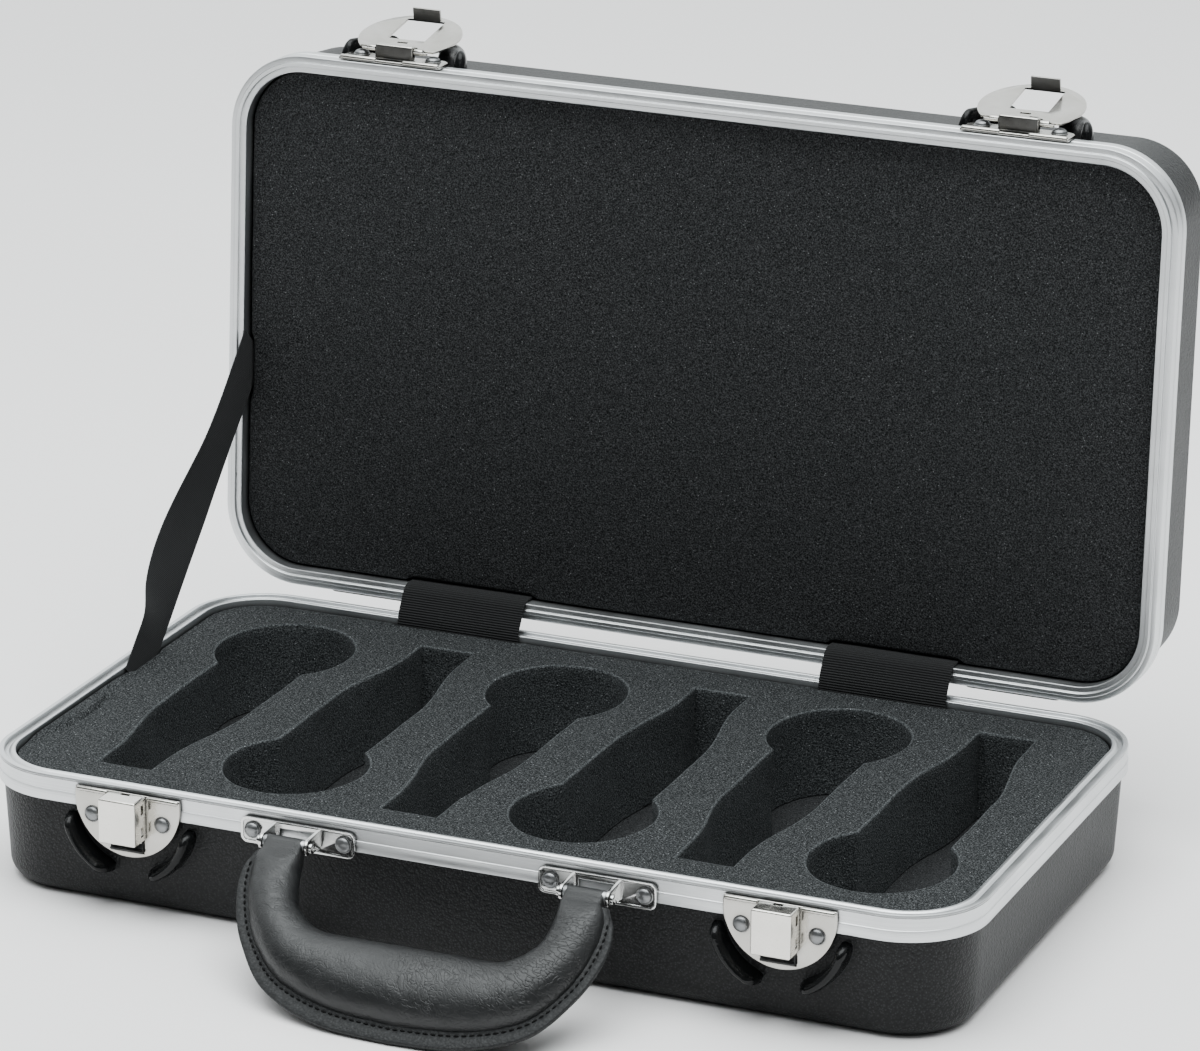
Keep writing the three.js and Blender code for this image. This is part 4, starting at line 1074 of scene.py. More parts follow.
def guard_rings(half, place, side):
    """A raised arc beside a latch: half round, and eased into the drafted wall at both ends."""
    rings = []
    for step in range(GUARD_STEPS + 1):
        share = step / GUARD_STEPS
        ends = min(share, 1 - share) * GUARD_STEPS / GUARD_EASED_STEPS
        rise = math.sqrt(max(1 - (1 - min(ends, 1)) ** 2, GUARD_END_SHARE))
        angle = math.radians(GUARD_START + (GUARD_END - GUARD_START) * share)
        drop = GUARD_CENTRE_DROP + GUARD_RADIUS * math.sin(angle)
        wall = -SHELL_INSET - SHELL_DRAFT * (drop - LIP_DROP) / (PARTING - BOTTOM_RADIUS - LIP_DROP)
        profile = [(-1.0, wall - SHELL_WALL / 2)]
        for point in range(GUARD_CROWN_STEPS + 1):
            turn = math.pi * point / GUARD_CROWN_STEPS
            crown = rise * math.sin(turn) ** GUARD_FULLNESS
            profile.append((-math.cos(turn), wall + (GUARD_PROUD - wall) * crown))
        profile.append((1.0, wall - SHELL_WALL / 2))
        if side < 0:
            angle = math.pi - angle
        ring = []
        for across, proud in profile:
            radius = GUARD_RADIUS + across * GUARD_WIDTH / 2 * (0.5 + 0.5 * rise)
            x, drop = place + radius * math.cos(angle), GUARD_CENTRE_DROP + radius * math.sin(angle)
            ring.append(wall_point(half, x, drop, proud))
        rings.append(ring)
    return rings


def foot_loops(half, place):
    """A rounded pad on the back wall that the closed case stands on."""
    rings = []
    outline = rounded_rectangle(FOOT_LENGTH, FOOT_HEIGHT, FOOT_CORNER)
    level = FOOT_PROUD - FOOT_ROUND
    stations = [(0, -SHELL_INSET - SHELL_WALL / 2), (0, level - FOOT_STRAIGHT)]
    for step in range(1, 6):
        angle = step / 5 * math.pi / 2
        stations.append((FOOT_ROUND * (1 - math.cos(angle)), level + FOOT_ROUND * math.sin(angle)))
    for inset, proud in stations:
        rings.append([
            half_point(half, place + x, BACK + proud, FOOT_DROP + FOOT_HEIGHT / 2 + y)
            for x, y in moved_out(outline, -inset)
        ])
    return rings


def shell_piece(half):
    """One moulded half: its tray, the four guards beside its latches or hasps and its two feet."""
    outer, inner = tray_profile(0), tray_profile(SHELL_WALL)
    surface = Surface()
    stations = inner[::-1] + outer
    rings = [[half_point(half, x, y, drop) for x, y in case_loop(inset)] for inset, drop in stations]
    surface.loft(rings, ends=False)
    for inset, drop in (outer[-1], inner[-1]):
        loop = case_loop(inset)
        surface.add([half_point(half, x, y, drop) for x, y in loop], [list(range(len(loop)))])
    for place in (-FITTING_PLACE, FITTING_PLACE):
        for side in (-1, 1):
            surface.loft(guard_rings(half, place, side), finish=1)
    for place in (-FOOT_PLACE, FOOT_PLACE):
        surface.loft(foot_loops(half, place))
    materials = [finish("leather_grain_plastic", moulded_grain), finish("gloss_guard_plastic", gloss_plastic)]
    piece = surface.piece(f"{half}_moulded_shell", materials, sharp=40, weld=True)
    seat(piece, half, "shell_plastic", f"{half}_shell")


# Foam

def pocket_outline(index):
    """One pocket in plan: a round head, a straight body and an eased narrower tail."""
    end = POCKET_LENGTH / 2
    centre = end - HEAD_HALF_LENGTH
    neck = math.asin(BODY_HALF_WIDTH / HEAD_HALF_WIDTH)
    points = []
    head_steps = 44
    for step in range(head_steps + 1):
        angle = -(math.pi - neck) + 2 * (math.pi - neck) * step / head_steps
        points.append((HEAD_HALF_WIDTH * math.sin(angle), centre + HEAD_HALF_LENGTH * math.cos(angle)))
    side = [(BODY_HALF_WIDTH, y) for y in POCKET_STRAIGHT]
    taper_steps = 16
    for step in range(taper_steps + 1):
        share = step / taper_steps
        side.append((
            BODY_HALF_WIDTH + (TAIL_HALF_WIDTH - BODY_HALF_WIDTH) * smooth_step(share, 0, 1),
            TAPER_START + (TAPER_END - TAPER_START) * share - end,
        ))
    side.append((TAIL_HALF_WIDTH, -end))
    outline = points + side + [(-x, y) for x, y in side[::-1]]
    turn = -1 if index % 2 else 1
    middle = (index - (POCKET_COUNT - 1) / 2) * POCKET_PITCH + POCKET_ROW_SHIFT
    placed = [(middle + turn * x, turn * (y + POCKET_HEAD_SHIFT)) for x, y in outline][::-1]
    loop = resampled(placed, POCKET_SPACING)
    normals = loop_normals(loop)
    wavy = []
    for (x, y), normal in zip(loop, normals):
        shift = CUT_WAVE * ripple(x, y, 0.045, index)
        wavy.append((x + normal.x * shift, y + normal.y * shift))
    return wavy


def border_width(y):
    """Width of the strip of foam that stands up along the left wall."""
    narrowed = 1 - BORDER_NARROWING_SHARE * smooth_step(y, *BORDER_NARROWS)
    return BORDER_WIDTH * smooth_step(y, *BORDER_START) * narrowed


def base_foam_lift(x, y):
    """Height of the base foam's face above its flat level."""
    lift = 0.35 * ripple(x, y, 0.018, 2.0) + 0.12 * ripple(x, y, 0.07, 5.0)
    width = border_width(y)
    if width > BORDER_LEAST:
        fade = 1 - smooth_step(y, *BORDER_FADE)
        edge = x + CASE_WIDTH / 2 - FOAM_INSET - width
        raised = BORDER_RISE * (1 - smooth_step(edge, *BORDER_STEP))
        crease = BORDER_CREASE * math.exp(-(edge / BORDER_CREASE_WIDTH) ** 2)
        lift += fade * min(width / BORDER_FULL, 1) * (raised - crease)
    return lift


def foam_outline():
    """The foam's outline, drawn in where the webbing and the strap lie beside it."""
    loop = resampled(case_loop(FOAM_INSET), FOAM_OUTLINE_SPACING)
    normals = loop_normals(loop)
    outline = []
    for (x, y), normal in zip(loop, normals):
        inset = 0.2 + 0.2 * ripple(x, y, 0.03, 9.0)
        if y > 0:
            beside = min(abs(abs(x) - HINGE_PLACE) - COVER_WIDTH / 2, 6)
            inset += FOAM_BESIDE_COVER * (1 - smooth_step(beside, -0.5, 3.5))
        if x < -CASE_WIDTH / 2 + FOAM_INSET + 1:
            beside = abs(y - STRAP_PLACE) - STRAP_WIDTH / 2
            inset += FOAM_BESIDE_STRAP * (1 - smooth_step(beside, -0.5, 4))
        outline.append((x - normal.x * inset, y - normal.y * inset))
    return outline


def grid_points(loops, spacing, margin, extra_rows=()):
    """Points inside the foam's face, clear of its outlines."""
    from_x, to_x = -CASE_WIDTH / 2 + FOAM_INSET, CASE_WIDTH / 2 - FOAM_INSET
    from_y, to_y = -CASE_DEPTH / 2 + FOAM_INSET, CASE_DEPTH / 2 - FOAM_INSET
    rows = []
    for i in range(1, int((to_x - from_x) / spacing)):
        for j in range(1, int((to_y - from_y) / spacing)):
            rows.append((from_x + i * spacing, from_y + j * spacing))
    rows.extend(extra_rows)
    edge_points = [point for loop in loops for point in loop]
    tree = KDTree(len(edge_points))
    for index, (x, y) in enumerate(edge_points):
        tree.insert((x, y, 0), index)
    tree.balance()
    kept = []
    for x, y in rows:
        if tree.find((x, y, 0))[2] < margin:
            continue
        if not inside(x, y, loops[0]) or any(inside(x, y, loop) for loop in loops[1:]):
            continue
        kept.append((x, y))
    return kept


def foam_block(surface, half, loops, top, bottom, lift, edge, bow, spacing, extra_rows=(), draw_in=None):
    """A foam sheet with softly rounded upper edges, slightly bowed walls and cut pockets."""
    tops = []
    for index, loop in enumerate(loops):
        turned = loop if index == 0 else loop[::-1]
        normals = loop_normals(turned)
        rings = []
        for inset_share, drop_share in FOAM_EDGE_SHARES:
            ring = []
            for (x, y), normal in zip(turned, normals):
                at_x = x - normal.x * edge * inset_share
                at_y = y - normal.y * edge * inset_share
                rise = lift(at_x, at_y) * (1 - drop_share * 0.4)
                ring.append(half_point(half, at_x, at_y, top + edge * drop_share - rise))
            rings.append(ring)
        for share in FOAM_WALL_SHARES:
            drop = top + (bottom - top) * share
            ring = []
            for (x, y), normal in zip(turned, normals):
                swell = bow * math.sin(math.pi * share) * (0.4 + ripple(x, y, 0.05, share))
                if index == 0:
                    swell = min(swell, 0)
                ring.append(half_point(half, x - normal.x * swell, y - normal.y * swell, drop))
            rings.append(ring)
        floor_loop = turned if draw_in is None or index else moved_out(turned, -draw_in)
        rings.append([half_point(half, x, y, bottom) for x, y in floor_loop])
        surface.loft(rings, min(index, 1), ends=False)
        tops.append([(x - n.x * edge, y - n.y * edge) for (x, y), n in zip(turned, normals)])
    points, triangles = filled(tops, grid_points(tops, spacing, spacing * 0.45, extra_rows))
    surface.add([half_point(half, p.x, p.y, top - lift(p.x, p.y)) for p in points], triangles)
    lows = [loop if index == 0 else loop[::-1] for index, loop in enumerate(loops)]
    if draw_in is not None:
        lows[0] = moved_out(lows[0], -draw_in)
    points, triangles = filled(lows)
    surface.add([half_point(half, p.x, p.y, bottom) for p in points], triangles)


def pocket_foam_piece():
    """The base's foam block with its six pockets, set head to tail."""
    surface = Surface()
    settings = bpy.context.scene.case_foam
    loops = [foam_outline()] + [pocket_outline(index) for index in range(POCKET_COUNT)]
    wall = -CASE_WIDTH / 2 + FOAM_INSET
    border_rows = [
        (wall + BORDER_COLUMN_PITCH * column, BORDER_FIRST_ROW + BORDER_ROW_PITCH * row)
        for column in range(1, BORDER_COLUMNS + 1) for row in range(BORDER_ROWS)
    ]
    low, _ = node_box("pocket_foam")
    foam_block(
        surface, "base", loops, BASE_FOAM_DROP, PARTING - low.z, base_foam_lift, settings.edge_softness / MM,
        BASE_FOAM_BOW, BASE_FOAM_SPACING, border_rows,
    )
    # The pockets' walls take the paler copy: painted light on the walls.
    foams = [finish("base_foam", base_foam), finish("painted_light_pocket_wall_foam", painted_light_pocket_wall_foam)]
    piece = surface.piece("pocketed_foam_insert", foams, sharp=60, weld=True)
    seat(piece, "base", "foam", "pocket_foam")


def floor_pad_piece():
    low, high = node_box("floor_pad")

    def lift(x, y):
        return 0.3 * ripple(x, y, 0.03, 14.0) - PAD_SINK

    surface = Surface()
    loop = resampled(case_loop(FOAM_INSET), PAD_OUTLINE_SPACING)
    foam_block(
        surface, "base", [loop], PARTING - high.z, PARTING - low.z, lift, PAD_EDGE, PAD_BOW, PAD_SPACING,
        draw_in=PAD_DRAW_IN,
    )
    piece = surface.piece("floor_foam_pad", [finish("floor_foam", floor_foam)], sharp=60, weld=True)
    seat(piece, "base", "foam", "floor_pad")


def lid_foam_piece():
    def lift(x, y):
        return 0.5 * ripple(x, y, 0.012, 21.0) + 0.15 * ripple(x, y, 0.05, 23.0)

    surface = Surface()
    bottom = PARTING - SHELL_WALL - FOAM_SEAT_GAP
    foam_block(
        surface, "lid", [foam_outline()], LID_FOAM_DROP, bottom, lift, LID_FOAM_EDGE, LID_FOAM_BOW,
        LID_FOAM_SPACING, draw_in=LID_FOAM_DRAW_IN,
    )
    piece = surface.piece("lid_foam_lining", [finish("lid_foam", lid_foam)], sharp=60, weld=True)
    seat(piece, "lid", "foam", "lid_foam")


# Webbing

def lid_line_point(y, rise):
    """Where a point of the lid lies once the lid is open, as y and z in millimetres."""
    turned = LID_TURN @ Vector((0, y, PARTING + rise))
    return turned.y, turned.z


def eased_line(corners, radius, spacing):
    """A line through corners, each eased by a curve, with points about one spacing apart."""
    corners = [Vector(corner) for corner in corners]
    points = [corners[0]]
    for before, corner, after in zip(corners, corners[1:], corners[2:]):
        back = before - corner
        ahead = after - corner
        reach = min(radius, back.length / 2, ahead.length / 2)
        start = corner + back.normalized() * reach
        end = corner + ahead.normalized() * reach
        for step in range(9):
            t = step / 8
            points.append(start * (1 - t) ** 2 + corner * 2 * t * (1 - t) + end * t ** 2)
    points.append(corners[-1])
    line = []
    for first, second in zip(points, points[1:]):
        steps = max(1, round((second - first).length / spacing))
        line.extend(first + (second - first) * (i / steps) for i in range(steps))
    return line + [points[-1]]


def hinge_cover_piece(side_name, side):
    """Ribbed webbing over a hinge: tucked behind the foam at both ends, slack over the gap."""
    settings = bpy.context.scene.case_webbing
    corners = [
        (COVER_Y, PARTING - COVER_TUCK), (COVER_Y, PARTING + COVER_SLACK),
        lid_line_point(COVER_Y, -COVER_SLACK), lid_line_point(COVER_Y, COVER_TUCK),
    ]
    line = eased_line(corners, COVER_BEND, COVER_SPACING)
    pitch = settings.rib_pitch / MM
    rings = []
    lays = []
    travelled = 0.0
    for index, point in enumerate(line):
        before = line[max(index - 1, 0)]
        after = line[min(index + 1, len(line) - 1)]
        along = (after - before).normalized()
        normal = Vector((-along.y, along.x))
        if index:
            travelled += (point - line[index - 1]).length
        rib = abs(math.sin(math.pi * travelled / pitch))
        upper, under, places = [], [], []
        for column in range(COVER_COLUMNS + 1):
            share = column / COVER_COLUMNS * 2 - 1
            x = side * HINGE_PLACE + share * COVER_WIDTH / 2
            wave = COVER_WAVE * noise.noise(Vector((x * 0.05, travelled * 0.06, 31.0 + side)))
            edge = 1.0 if 0 < column < COVER_COLUMNS else COVER_EDGE_SHARE
            thick = (COVER_WALL / 2 - RIB_HEIGHT + RIB_HEIGHT * rib) * edge
            middle = point + normal * wave
            front = middle + normal * thick
            rear = middle - normal * thick
            upper.append(Vector((x, front.x, front.y)) * MM)
            under.append(Vector((x, rear.x, rear.y)) * MM)
            places.append((x, travelled, 0.0))
        rings.append(upper + under[::-1])
        lays.extend(places + places[::-1])
    surface = Surface()
    surface.loft(rings, lays=lays)
    piece = surface.piece(f"hinge_webbing_{side_name}", [finish("ribbed_webbing", hinge_webbing)], sharp=70)
    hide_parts(f"hinge_cover_{side_name}")
    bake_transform(piece)


def stay_strap_piece():
    """The stay: flat webbing from wall to wall, taut but for the twist in its middle."""
    lip_y, lip_z = lid_line_point(STRAP_PLACE, 0)
    start = Vector((STRAP_X, STRAP_PLACE, PARTING))
    end = Vector((STRAP_X, lip_y, lip_z))
    along = (end - start).normalized()
    flat = Vector((0, -along.z, along.y))
    outward = Vector((-1, 0, 0))
    length = (end - start).length
    rings = []
    lays = []
    for step in range(STRAP_STATIONS + 1):
        share = step / STRAP_STATIONS
        distance = -STRAP_TUCK + (length + 2 * STRAP_TUCK) * share
        between = min(max(distance / length, 0), 1)
        twist = math.radians(spread(STRAP_TWISTS, between))
        sway = spread(STRAP_SWAY_SHARES, between) * STRAP_WIDTH
        across = flat * math.cos(twist) + outward * math.sin(twist)
        normal = along.cross(across)
        centre = start + along * distance + outward * sway
        free = math.sin(math.pi * between)
        upper, under, places = [], [], []
        for column in range(STRAP_COLUMNS + 1):
            wide = column / STRAP_COLUMNS * 2 - 1
            cup = STRAP_CUP * free * (wide * wide - 0.5)
            edge = 0.45 if abs(wide) > 0.99 else (0.9 if abs(wide) > 0.8 else 1.0)
            thick = STRAP_WALL / 2 * edge * 0.9
            at = centre + across * wide * STRAP_WIDTH / 2 + normal * cup
            upper.append((at + normal * thick) * MM)
            under.append((at - normal * thick) * MM)
            places.append((wide * STRAP_WIDTH / 2, distance, 0.0))
        rings.append(upper + under[::-1])
        lays.extend(places + places[::-1])
    surface = Surface()
    surface.loft(rings, lays=lays)
    piece = surface.piece("stay_strap_webbing", [finish("smooth_webbing", strap_webbing)], sharp=70)
    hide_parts("lid_stay_strap")
    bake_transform(piece)


# Fittings

def rivet_piece(node, half, x, drop, metal, slot):
    """A domed rivet with the fine line that its set leaves in the plate round the dome."""
    settings = bpy.context.scene.case_fittings
    height = settings.rivet_height / MM
    profile = [(0.05, RIVET_SEAT + height)]
    foot, rise = RIVET_SEAT + RIVET_SKIRT, height - RIVET_SKIRT
    for step in range(1, 11):
        angle = math.pi / 2 * (1 - step / 10)
        profile.append((RIVET_RADIUS * math.cos(angle), foot + rise * math.sin(angle)))
    for beyond, above in ((0.02, 0.02), (0.15, 0.1), (0.3, 0.02), (0.34, -0.25)):
        profile.append((RIVET_RADIUS + beyond, RIVET_SEAT + above))
    profile += [(RIVET_SHANK, RIVET_SEAT - 0.3), (RIVET_SHANK, -RIVET_LENGTH)]
    rings = []
    for ring in revolved(profile):
        rings.append([wall_point(half, x + across, drop + down, proud) for across, down, proud in ring])
    surface = Surface()
    surface.loft(rings)
    piece = surface.piece(f"{node}_dome", [metal], sharp=50)
    seat(piece, half, slot, node)


def bar(surface, at, start, end, y, height, radius):
    """A round bar across a plate, with rounded ends."""
    rings = []
    stations = [(start, 0.25), (start + 0.15 * radius, 0.6), (start + 0.5 * radius, 0.9), (start + radius, 1)]
    stations += [(start + end - x, share) for x, share in stations[::-1]]
    for x, share in stations:
        rings.append([
            at(x, y + radius * share * math.cos(turn), height + radius * share * math.sin(turn))
            for turn in (2 * math.pi * step / 14 for step in range(14))
        ])
    surface.loft(rings)


def box_piece(name, at, x, y, height):
    """A box between pairs of limits, which carve uses to cut an opening."""
    surface = Surface()
    surface.loft([
        [at(x[0], y[0], level), at(x[1], y[0], level), at(x[1], y[1], level), at(x[0], y[1], level)]
        for level in height
    ])
    return surface.piece(name, [])


def carve(piece, cutter):
    """Cuts one piece's form out of another and drops the cutter."""
    cut = piece.modifiers.new("opening", "BOOLEAN")
    cut.object = cutter
    cut.solver = "EXACT"
    graph = bpy.context.evaluated_depsgraph_get()
    mesh = bpy.data.meshes.new_from_object(piece.evaluated_get(graph))
    piece.modifiers.clear()
    piece.data = mesh
    bpy.data.objects.remove(cutter)
    finish_mesh(mesh, 38)


def plate_edge_half():
    """Half the length of the straight edge that cuts a latch's round plate off."""
    rise = PLATE_CENTRE_DROP - PLATE_TOP_DROP
    return math.sqrt(PLATE_RADIUS ** 2 - rise ** 2)


def latch_plate_piece(name, side):
    """The round-bottomed plate of a latch, with a rolled top edge and the slot of its catch."""
    place = side * FITTING_PLACE

    def at(x, y, height):
        return wall_point("base", place + x, -y, height)

    start = math.asin((PLATE_CENTRE_DROP - PLATE_TOP_DROP) / PLATE_RADIUS)
    outline = []
    for step in range(PLATE_STEPS + 1):
        angle = math.pi - start + (math.pi + 2 * start) * step / PLATE_STEPS
        outline.append((PLATE_RADIUS * math.cos(angle), PLATE_RADIUS * math.sin(angle) - PLATE_CENTRE_DROP))
    outline += [(x, -PLATE_TOP_DROP) for x in PLATE_TOP_PLACES]
    left, right = -SLOT_WIDTH / 2, SLOT_WIDTH / 2
    lower, upper = -SLOT_DROP - SLOT_HEIGHT, -SLOT_DROP
    slot = [(left, lower), (right, lower), (right, upper), (left, upper)]
    surface = Surface()
    slab(surface, [outline, slot], PLATE_BACK, PLATE_TOP, PLATE_EDGE, at)
    for end in (-1, 1):
        low, high = sorted((end * (BUTTON_WIDTH / 2 + BUTTON_GAP), end * (plate_edge_half() - 0.3)))
        bar(surface, at, low, high, -PLATE_TOP_DROP - PLATE_BEAD, PLATE_TOP - 0.1, PLATE_BEAD)
    piece = surface.piece(f"latch_plate_{name}_rolled", [finish("nickel_plate", nickel)], sharp=40)
    seat(piece, "base", "nickel", f"latch_plate_{name}")


def latch_button_piece(name, side):
    """The folded button of a latch: open below and behind, slit at its sides, notched on top."""
    place = side * FITTING_PLACE
    middle = PLATE_TOP_DROP + BUTTON_HEIGHT / 2
    half_width, half_height = BUTTON_WIDTH / 2, BUTTON_HEIGHT / 2
    proud = bpy.context.scene.case_fittings.button_proud / MM
    back = PLATE_TOP + BUTTON_GAP

    def at(x, y, height):
        return wall_point("base", place + x, middle - y, height)

    surface = Surface()
    face = rounded_rectangle(BUTTON_WIDTH, BUTTON_HEIGHT, BUTTON_CORNER)
    slab(surface, [face], back, proud, BUTTON_EDGE, at, steps=5)
    piece = surface.piece(f"latch_button_{name}_folded", [finish("painted_light_button_nickel", painted_light_button_nickel)])
    carve(piece, box_piece(
        "hollow", at, (BUTTON_WALL - half_width, half_width - BUTTON_WALL),
        (-half_height - CUT_OVERRUN, half_height - BUTTON_WALL), (back - CUT_OVERRUN, proud - BUTTON_WALL),
    ))
    for share in SLIT_SHARES:
        level = half_height - BUTTON_HEIGHT * share
        carve(piece, box_piece(
            "slit", at, (-SLIT_REACH, SLIT_REACH), (level - SLIT_HALF_HEIGHT, level + SLIT_HALF_HEIGHT),
            [back + depth for depth in SLIT_DEPTHS],
        ))
    carve(piece, box_piece(
        "notch", at, (-NOTCH_HALF_WIDTH, NOTCH_HALF_WIDTH),
        (half_height - NOTCH_HEIGHT, half_height + NOTCH_HEIGHT), (back - CUT_OVERRUN, back + NOTCH_DEPTH),
    ))
    seat(piece, f"button_{name}", "nickel", f"latch_button_{name}")


def hasp_plate_piece(name, side):
    """The lid's plate: rolled front edge broken in the middle, and the housing of the spring, with painted
    shade on the housing's faces that look to the front.
    """
    place = side * FITTING_PLACE

    def at(x, y, height):
        return wall_point("lid", place + x, y, height)

    half = plate_edge_half()
    far = PLATE_TOP_DROP + HASP_PLATE_DEPTH
    outline = [(x, PLATE_TOP_DROP) for x in (-half, *HASP_PLATE_PLACES, half)]
    for across, start in ((1, 0), (-1, 90)):
        for step in range(9):
            angle = math.radians(start + 90 * step / 8)
            outline.append((
                across * (half - HASP_PLATE_ROUND) + HASP_PLATE_ROUND * math.cos(angle),
                far - HASP_PLATE_ROUND + HASP_PLATE_ROUND * math.sin(angle),
            ))
    surface = Surface()
    slab(surface, [outline], PLATE_BACK, PLATE_TOP, HASP_PLATE_EDGE, at)
    front = PLATE_TOP_DROP + HASP_PLATE_BEAD - 0.4
    for end in (-1, 1):
        low, high = sorted((end * HASP_PLATE_BREAK, end * (half - 0.2)))
        bar(surface, at, low, high, front, PLATE_TOP - 0.2, HASP_PLATE_BEAD)
    level = HOUSING_DROP + HOUSING_DEPTH / 2
    corners = rounded_rectangle(HOUSING_WIDTH, HOUSING_DEPTH, HOUSING_CORNER)
    housing = [(x, y + level) for x, y in corners]
    slab(surface, [housing], HOUSING_BACK, HOUSING_PROUD, HOUSING_EDGE, at, 1, steps=5)
    metals = [finish("nickel_plate", nickel), finish("shaded_nickel", painted_shade_nickel)]
    piece = surface.piece(f"hasp_plate_{name}_rolled", metals, sharp=40)
    # Painted shade: the housing keeps the shaded nickel only on its faces that look to the front.
    for face in piece.data.polygons:
        if face.normal.y > HOUSING_SHADE_FACING:
            face.material_index = 0
    seat(piece, "lid", "nickel", f"hasp_plate_{name}")


def hasp_piece(name):
    """A hasp, with painted shade on the front face of its hook, the face that bears on the catch."""
    metals = [finish("nickel_plate", nickel), finish("shaded_nickel", painted_shade_nickel)]
    piece = rounded_copy(f"hasp_{name}", f"hasp_{name}_finished", HASP_ROUND, metals)
    _, high = node_box(f"hasp_{name}")
    # Painted shade: the hook's front face near its top takes the shaded nickel.
    for face in piece.data.polygons:
        if face.center.z > (high.z - HOOK_REACH) * MM and face.normal.y < HOOK_SHADE_FACING:
            face.material_index = 1
    seat(piece, f"hasp_{name}", "nickel", f"hasp_{name}")


def fitting_piece(node, body, slot, metal, rounding):
    """A plain metal piece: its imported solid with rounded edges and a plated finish."""
    piece = rounded_copy(node, f"{node}_finished", rounding, [metal])
    seat(piece, body, slot, node)


# Handle

def grip_point(across, out):
    """A point in the handle's plane, from shares of the grip's half width and of its reach."""
    reach = out * HANDLE_REACH
    return Vector((across * GRIP_HALF_WIDTH + reach * GRIP_LEAN, reach))


def grip_stations():
    """Inner edge, seam line, half thickness, flange width and share of the way round half the grip."""
    stations = []
    for index in range(2 * GRIP_STATIONS + 1):
        side = -1 if index <= GRIP_STATIONS else 1
        share = index / GRIP_STATIONS if index <= GRIP_STATIONS else 2 - index / GRIP_STATIONS
        columns = zip(*GRIP_SHARES)
        inner_x, inner_out, outer_x, outer_out, thick, flange = (spread(column, share) for column in columns)
        stations.append((
            grip_point(side * inner_x, inner_out), grip_point(side * outer_x, outer_out),
            thick * GRIP_HALF_THICKNESS, flange * FLANGE_WIDTH, share,
        ))
    return stations


def tube_sections():
    """Sections of the padded tube from pin to pin: edges, half thickness, squareness and fullness."""
    ends = []
    flat = NECK_THICKNESS_SHARE * GRIP_HALF_THICKNESS
    for out in PIN_WRAP_PLACES:
        if out < 0:
            thick = math.sqrt(max(PIN_WRAP ** 2 - out ** 2, 0.16))
        else:
            thick = PIN_WRAP + (flat - PIN_WRAP) * smooth_step(out, 0, 5)
        ends.append((out, thick))
    sections = []
    for side in (-1, 1):
        neck = []
        for out, thick in ends:
            middle = side * HANDLE_PLACE + out * GRIP_LEAN
            inner = Vector((middle - side * NECK_HALF_WIDTH, out))
            outer = Vector((middle + side * NECK_HALF_WIDTH, out))
            neck.append((inner, outer, thick, NECK_SQUARENESS, 0.0))
        sections.append(neck if side < 0 else neck[::-1])
    grip = []
    for inner, outer, thick, _, share in grip_stations():
        square = NECK_SQUARENESS + (1 - NECK_SQUARENESS) * smooth_step(share, 0, 0.28)
        grip.append((inner, outer, thick, square, smooth_step(share, 0.02, 0.2)))
    return sections[0] + grip + sections[1]


def grip_tube(surface):
    """The padded tube, which narrows at both ends to a flat band wrapped round the pins."""
    settings = bpy.context.scene.case_handle
    rings = []
    lays = []
    travelled = 0.0
    last = None
    for inner, outer, thick, square, full in tube_sections():
        centre = (inner + outer) / 2
        reach = (outer - inner) / 2
        if last is not None:
            travelled += (centre - last).length
        last = centre
        wide = reach.length
        ring = []
        for step in range(GRIP_AROUND):
            angle = 2 * math.pi * step / GRIP_AROUND
            cos, sin = math.cos(angle), math.sin(angle)
            cos = math.copysign(abs(cos) ** square, cos)
            sin = math.copysign(abs(sin) ** square, sin)
            flat = centre + reach * cos
            at = Vector((flat.x, flat.y, thick * sin))
            fold = abs(noise.noise(Vector((travelled * 0.16, angle * 0.9, 3.0))))
            dent = noise.noise(Vector((at.x * 0.05, at.y * 0.05, at.z * 0.06)))
            depth = settings.wrinkle_depth / MM * full * (0.35 * dent - 0.8 * max(0.16 - fold, 0) * 3 - 0.1)
            away = Vector((reach.x / wide * cos, reach.y / wide * cos, sin))
            at += away * depth
            ring.append(handle_point(at.x, at.y, at.z))
            lays.append((travelled, step / GRIP_AROUND * 4 * (wide + thick) / 1.3, 0.0))
        rings.append(ring)
    surface.loft(rings, lays=lays)


def grip_flange(surface):
    """The sewn flange outside the seam, with a groove for the stitches."""
    rings = []
    half = FLANGE_THICKNESS / 2
    for inner, outer, _, width, _ in grip_stations():
        direction = (outer - inner).normalized()
        width = max(width, FLANGE_LEAST_WIDTH)
        start = min(width, FLANGE_ROOT)
        profile = [
            (-start, half), (0.35, half + 0.2), (0.95, half - 0.2), (1.85, half - 0.2), (2.4, half + 0.05),
        ]
        profile = [(min(reach, width * 0.8), height) for reach, height in profile]
        rim = max(width - FLANGE_RIM, 0.2)
        profile += [(rim, half), (rim + 0.45, half * 0.8), (rim + FLANGE_RIM, half * 0.3)]
        profile += [(reach, -height) for reach, height in profile[::-1]]
        wobble = 0.35 * ripple(outer.x, outer.y, 0.06, 51.0)
        ring = []
        for reach, height in profile:
            at = outer + direction * (reach + (wobble if reach > 1 else 0))
            ring.append(handle_point(at.x, at.y, height))
        rings.append(ring)
    surface.loft(rings, finish=1)


def stitches(surface):
    """Thread stitches, one to a pitch, in the groove on both faces of the flange."""
    settings = bpy.context.scene.case_handle
    pitch = settings.stitch_pitch / MM
    path = []
    for inner, outer, _, width, _ in grip_stations():
        if width > STITCH_LEAST_WIDTH:
            path.append(outer + (outer - inner).normalized() * STITCH_OUT)
    travelled = 0.0
    following = pitch / 2
    for first, second in zip(path, path[1:]):
        length = (second - first).length
        while following <= travelled + length:
            at = first + (second - first) * ((following - travelled) / length)
            stitch(surface, at, (second - first).normalized(), pitch * STITCH_SHARE)
            following += pitch
        travelled += length


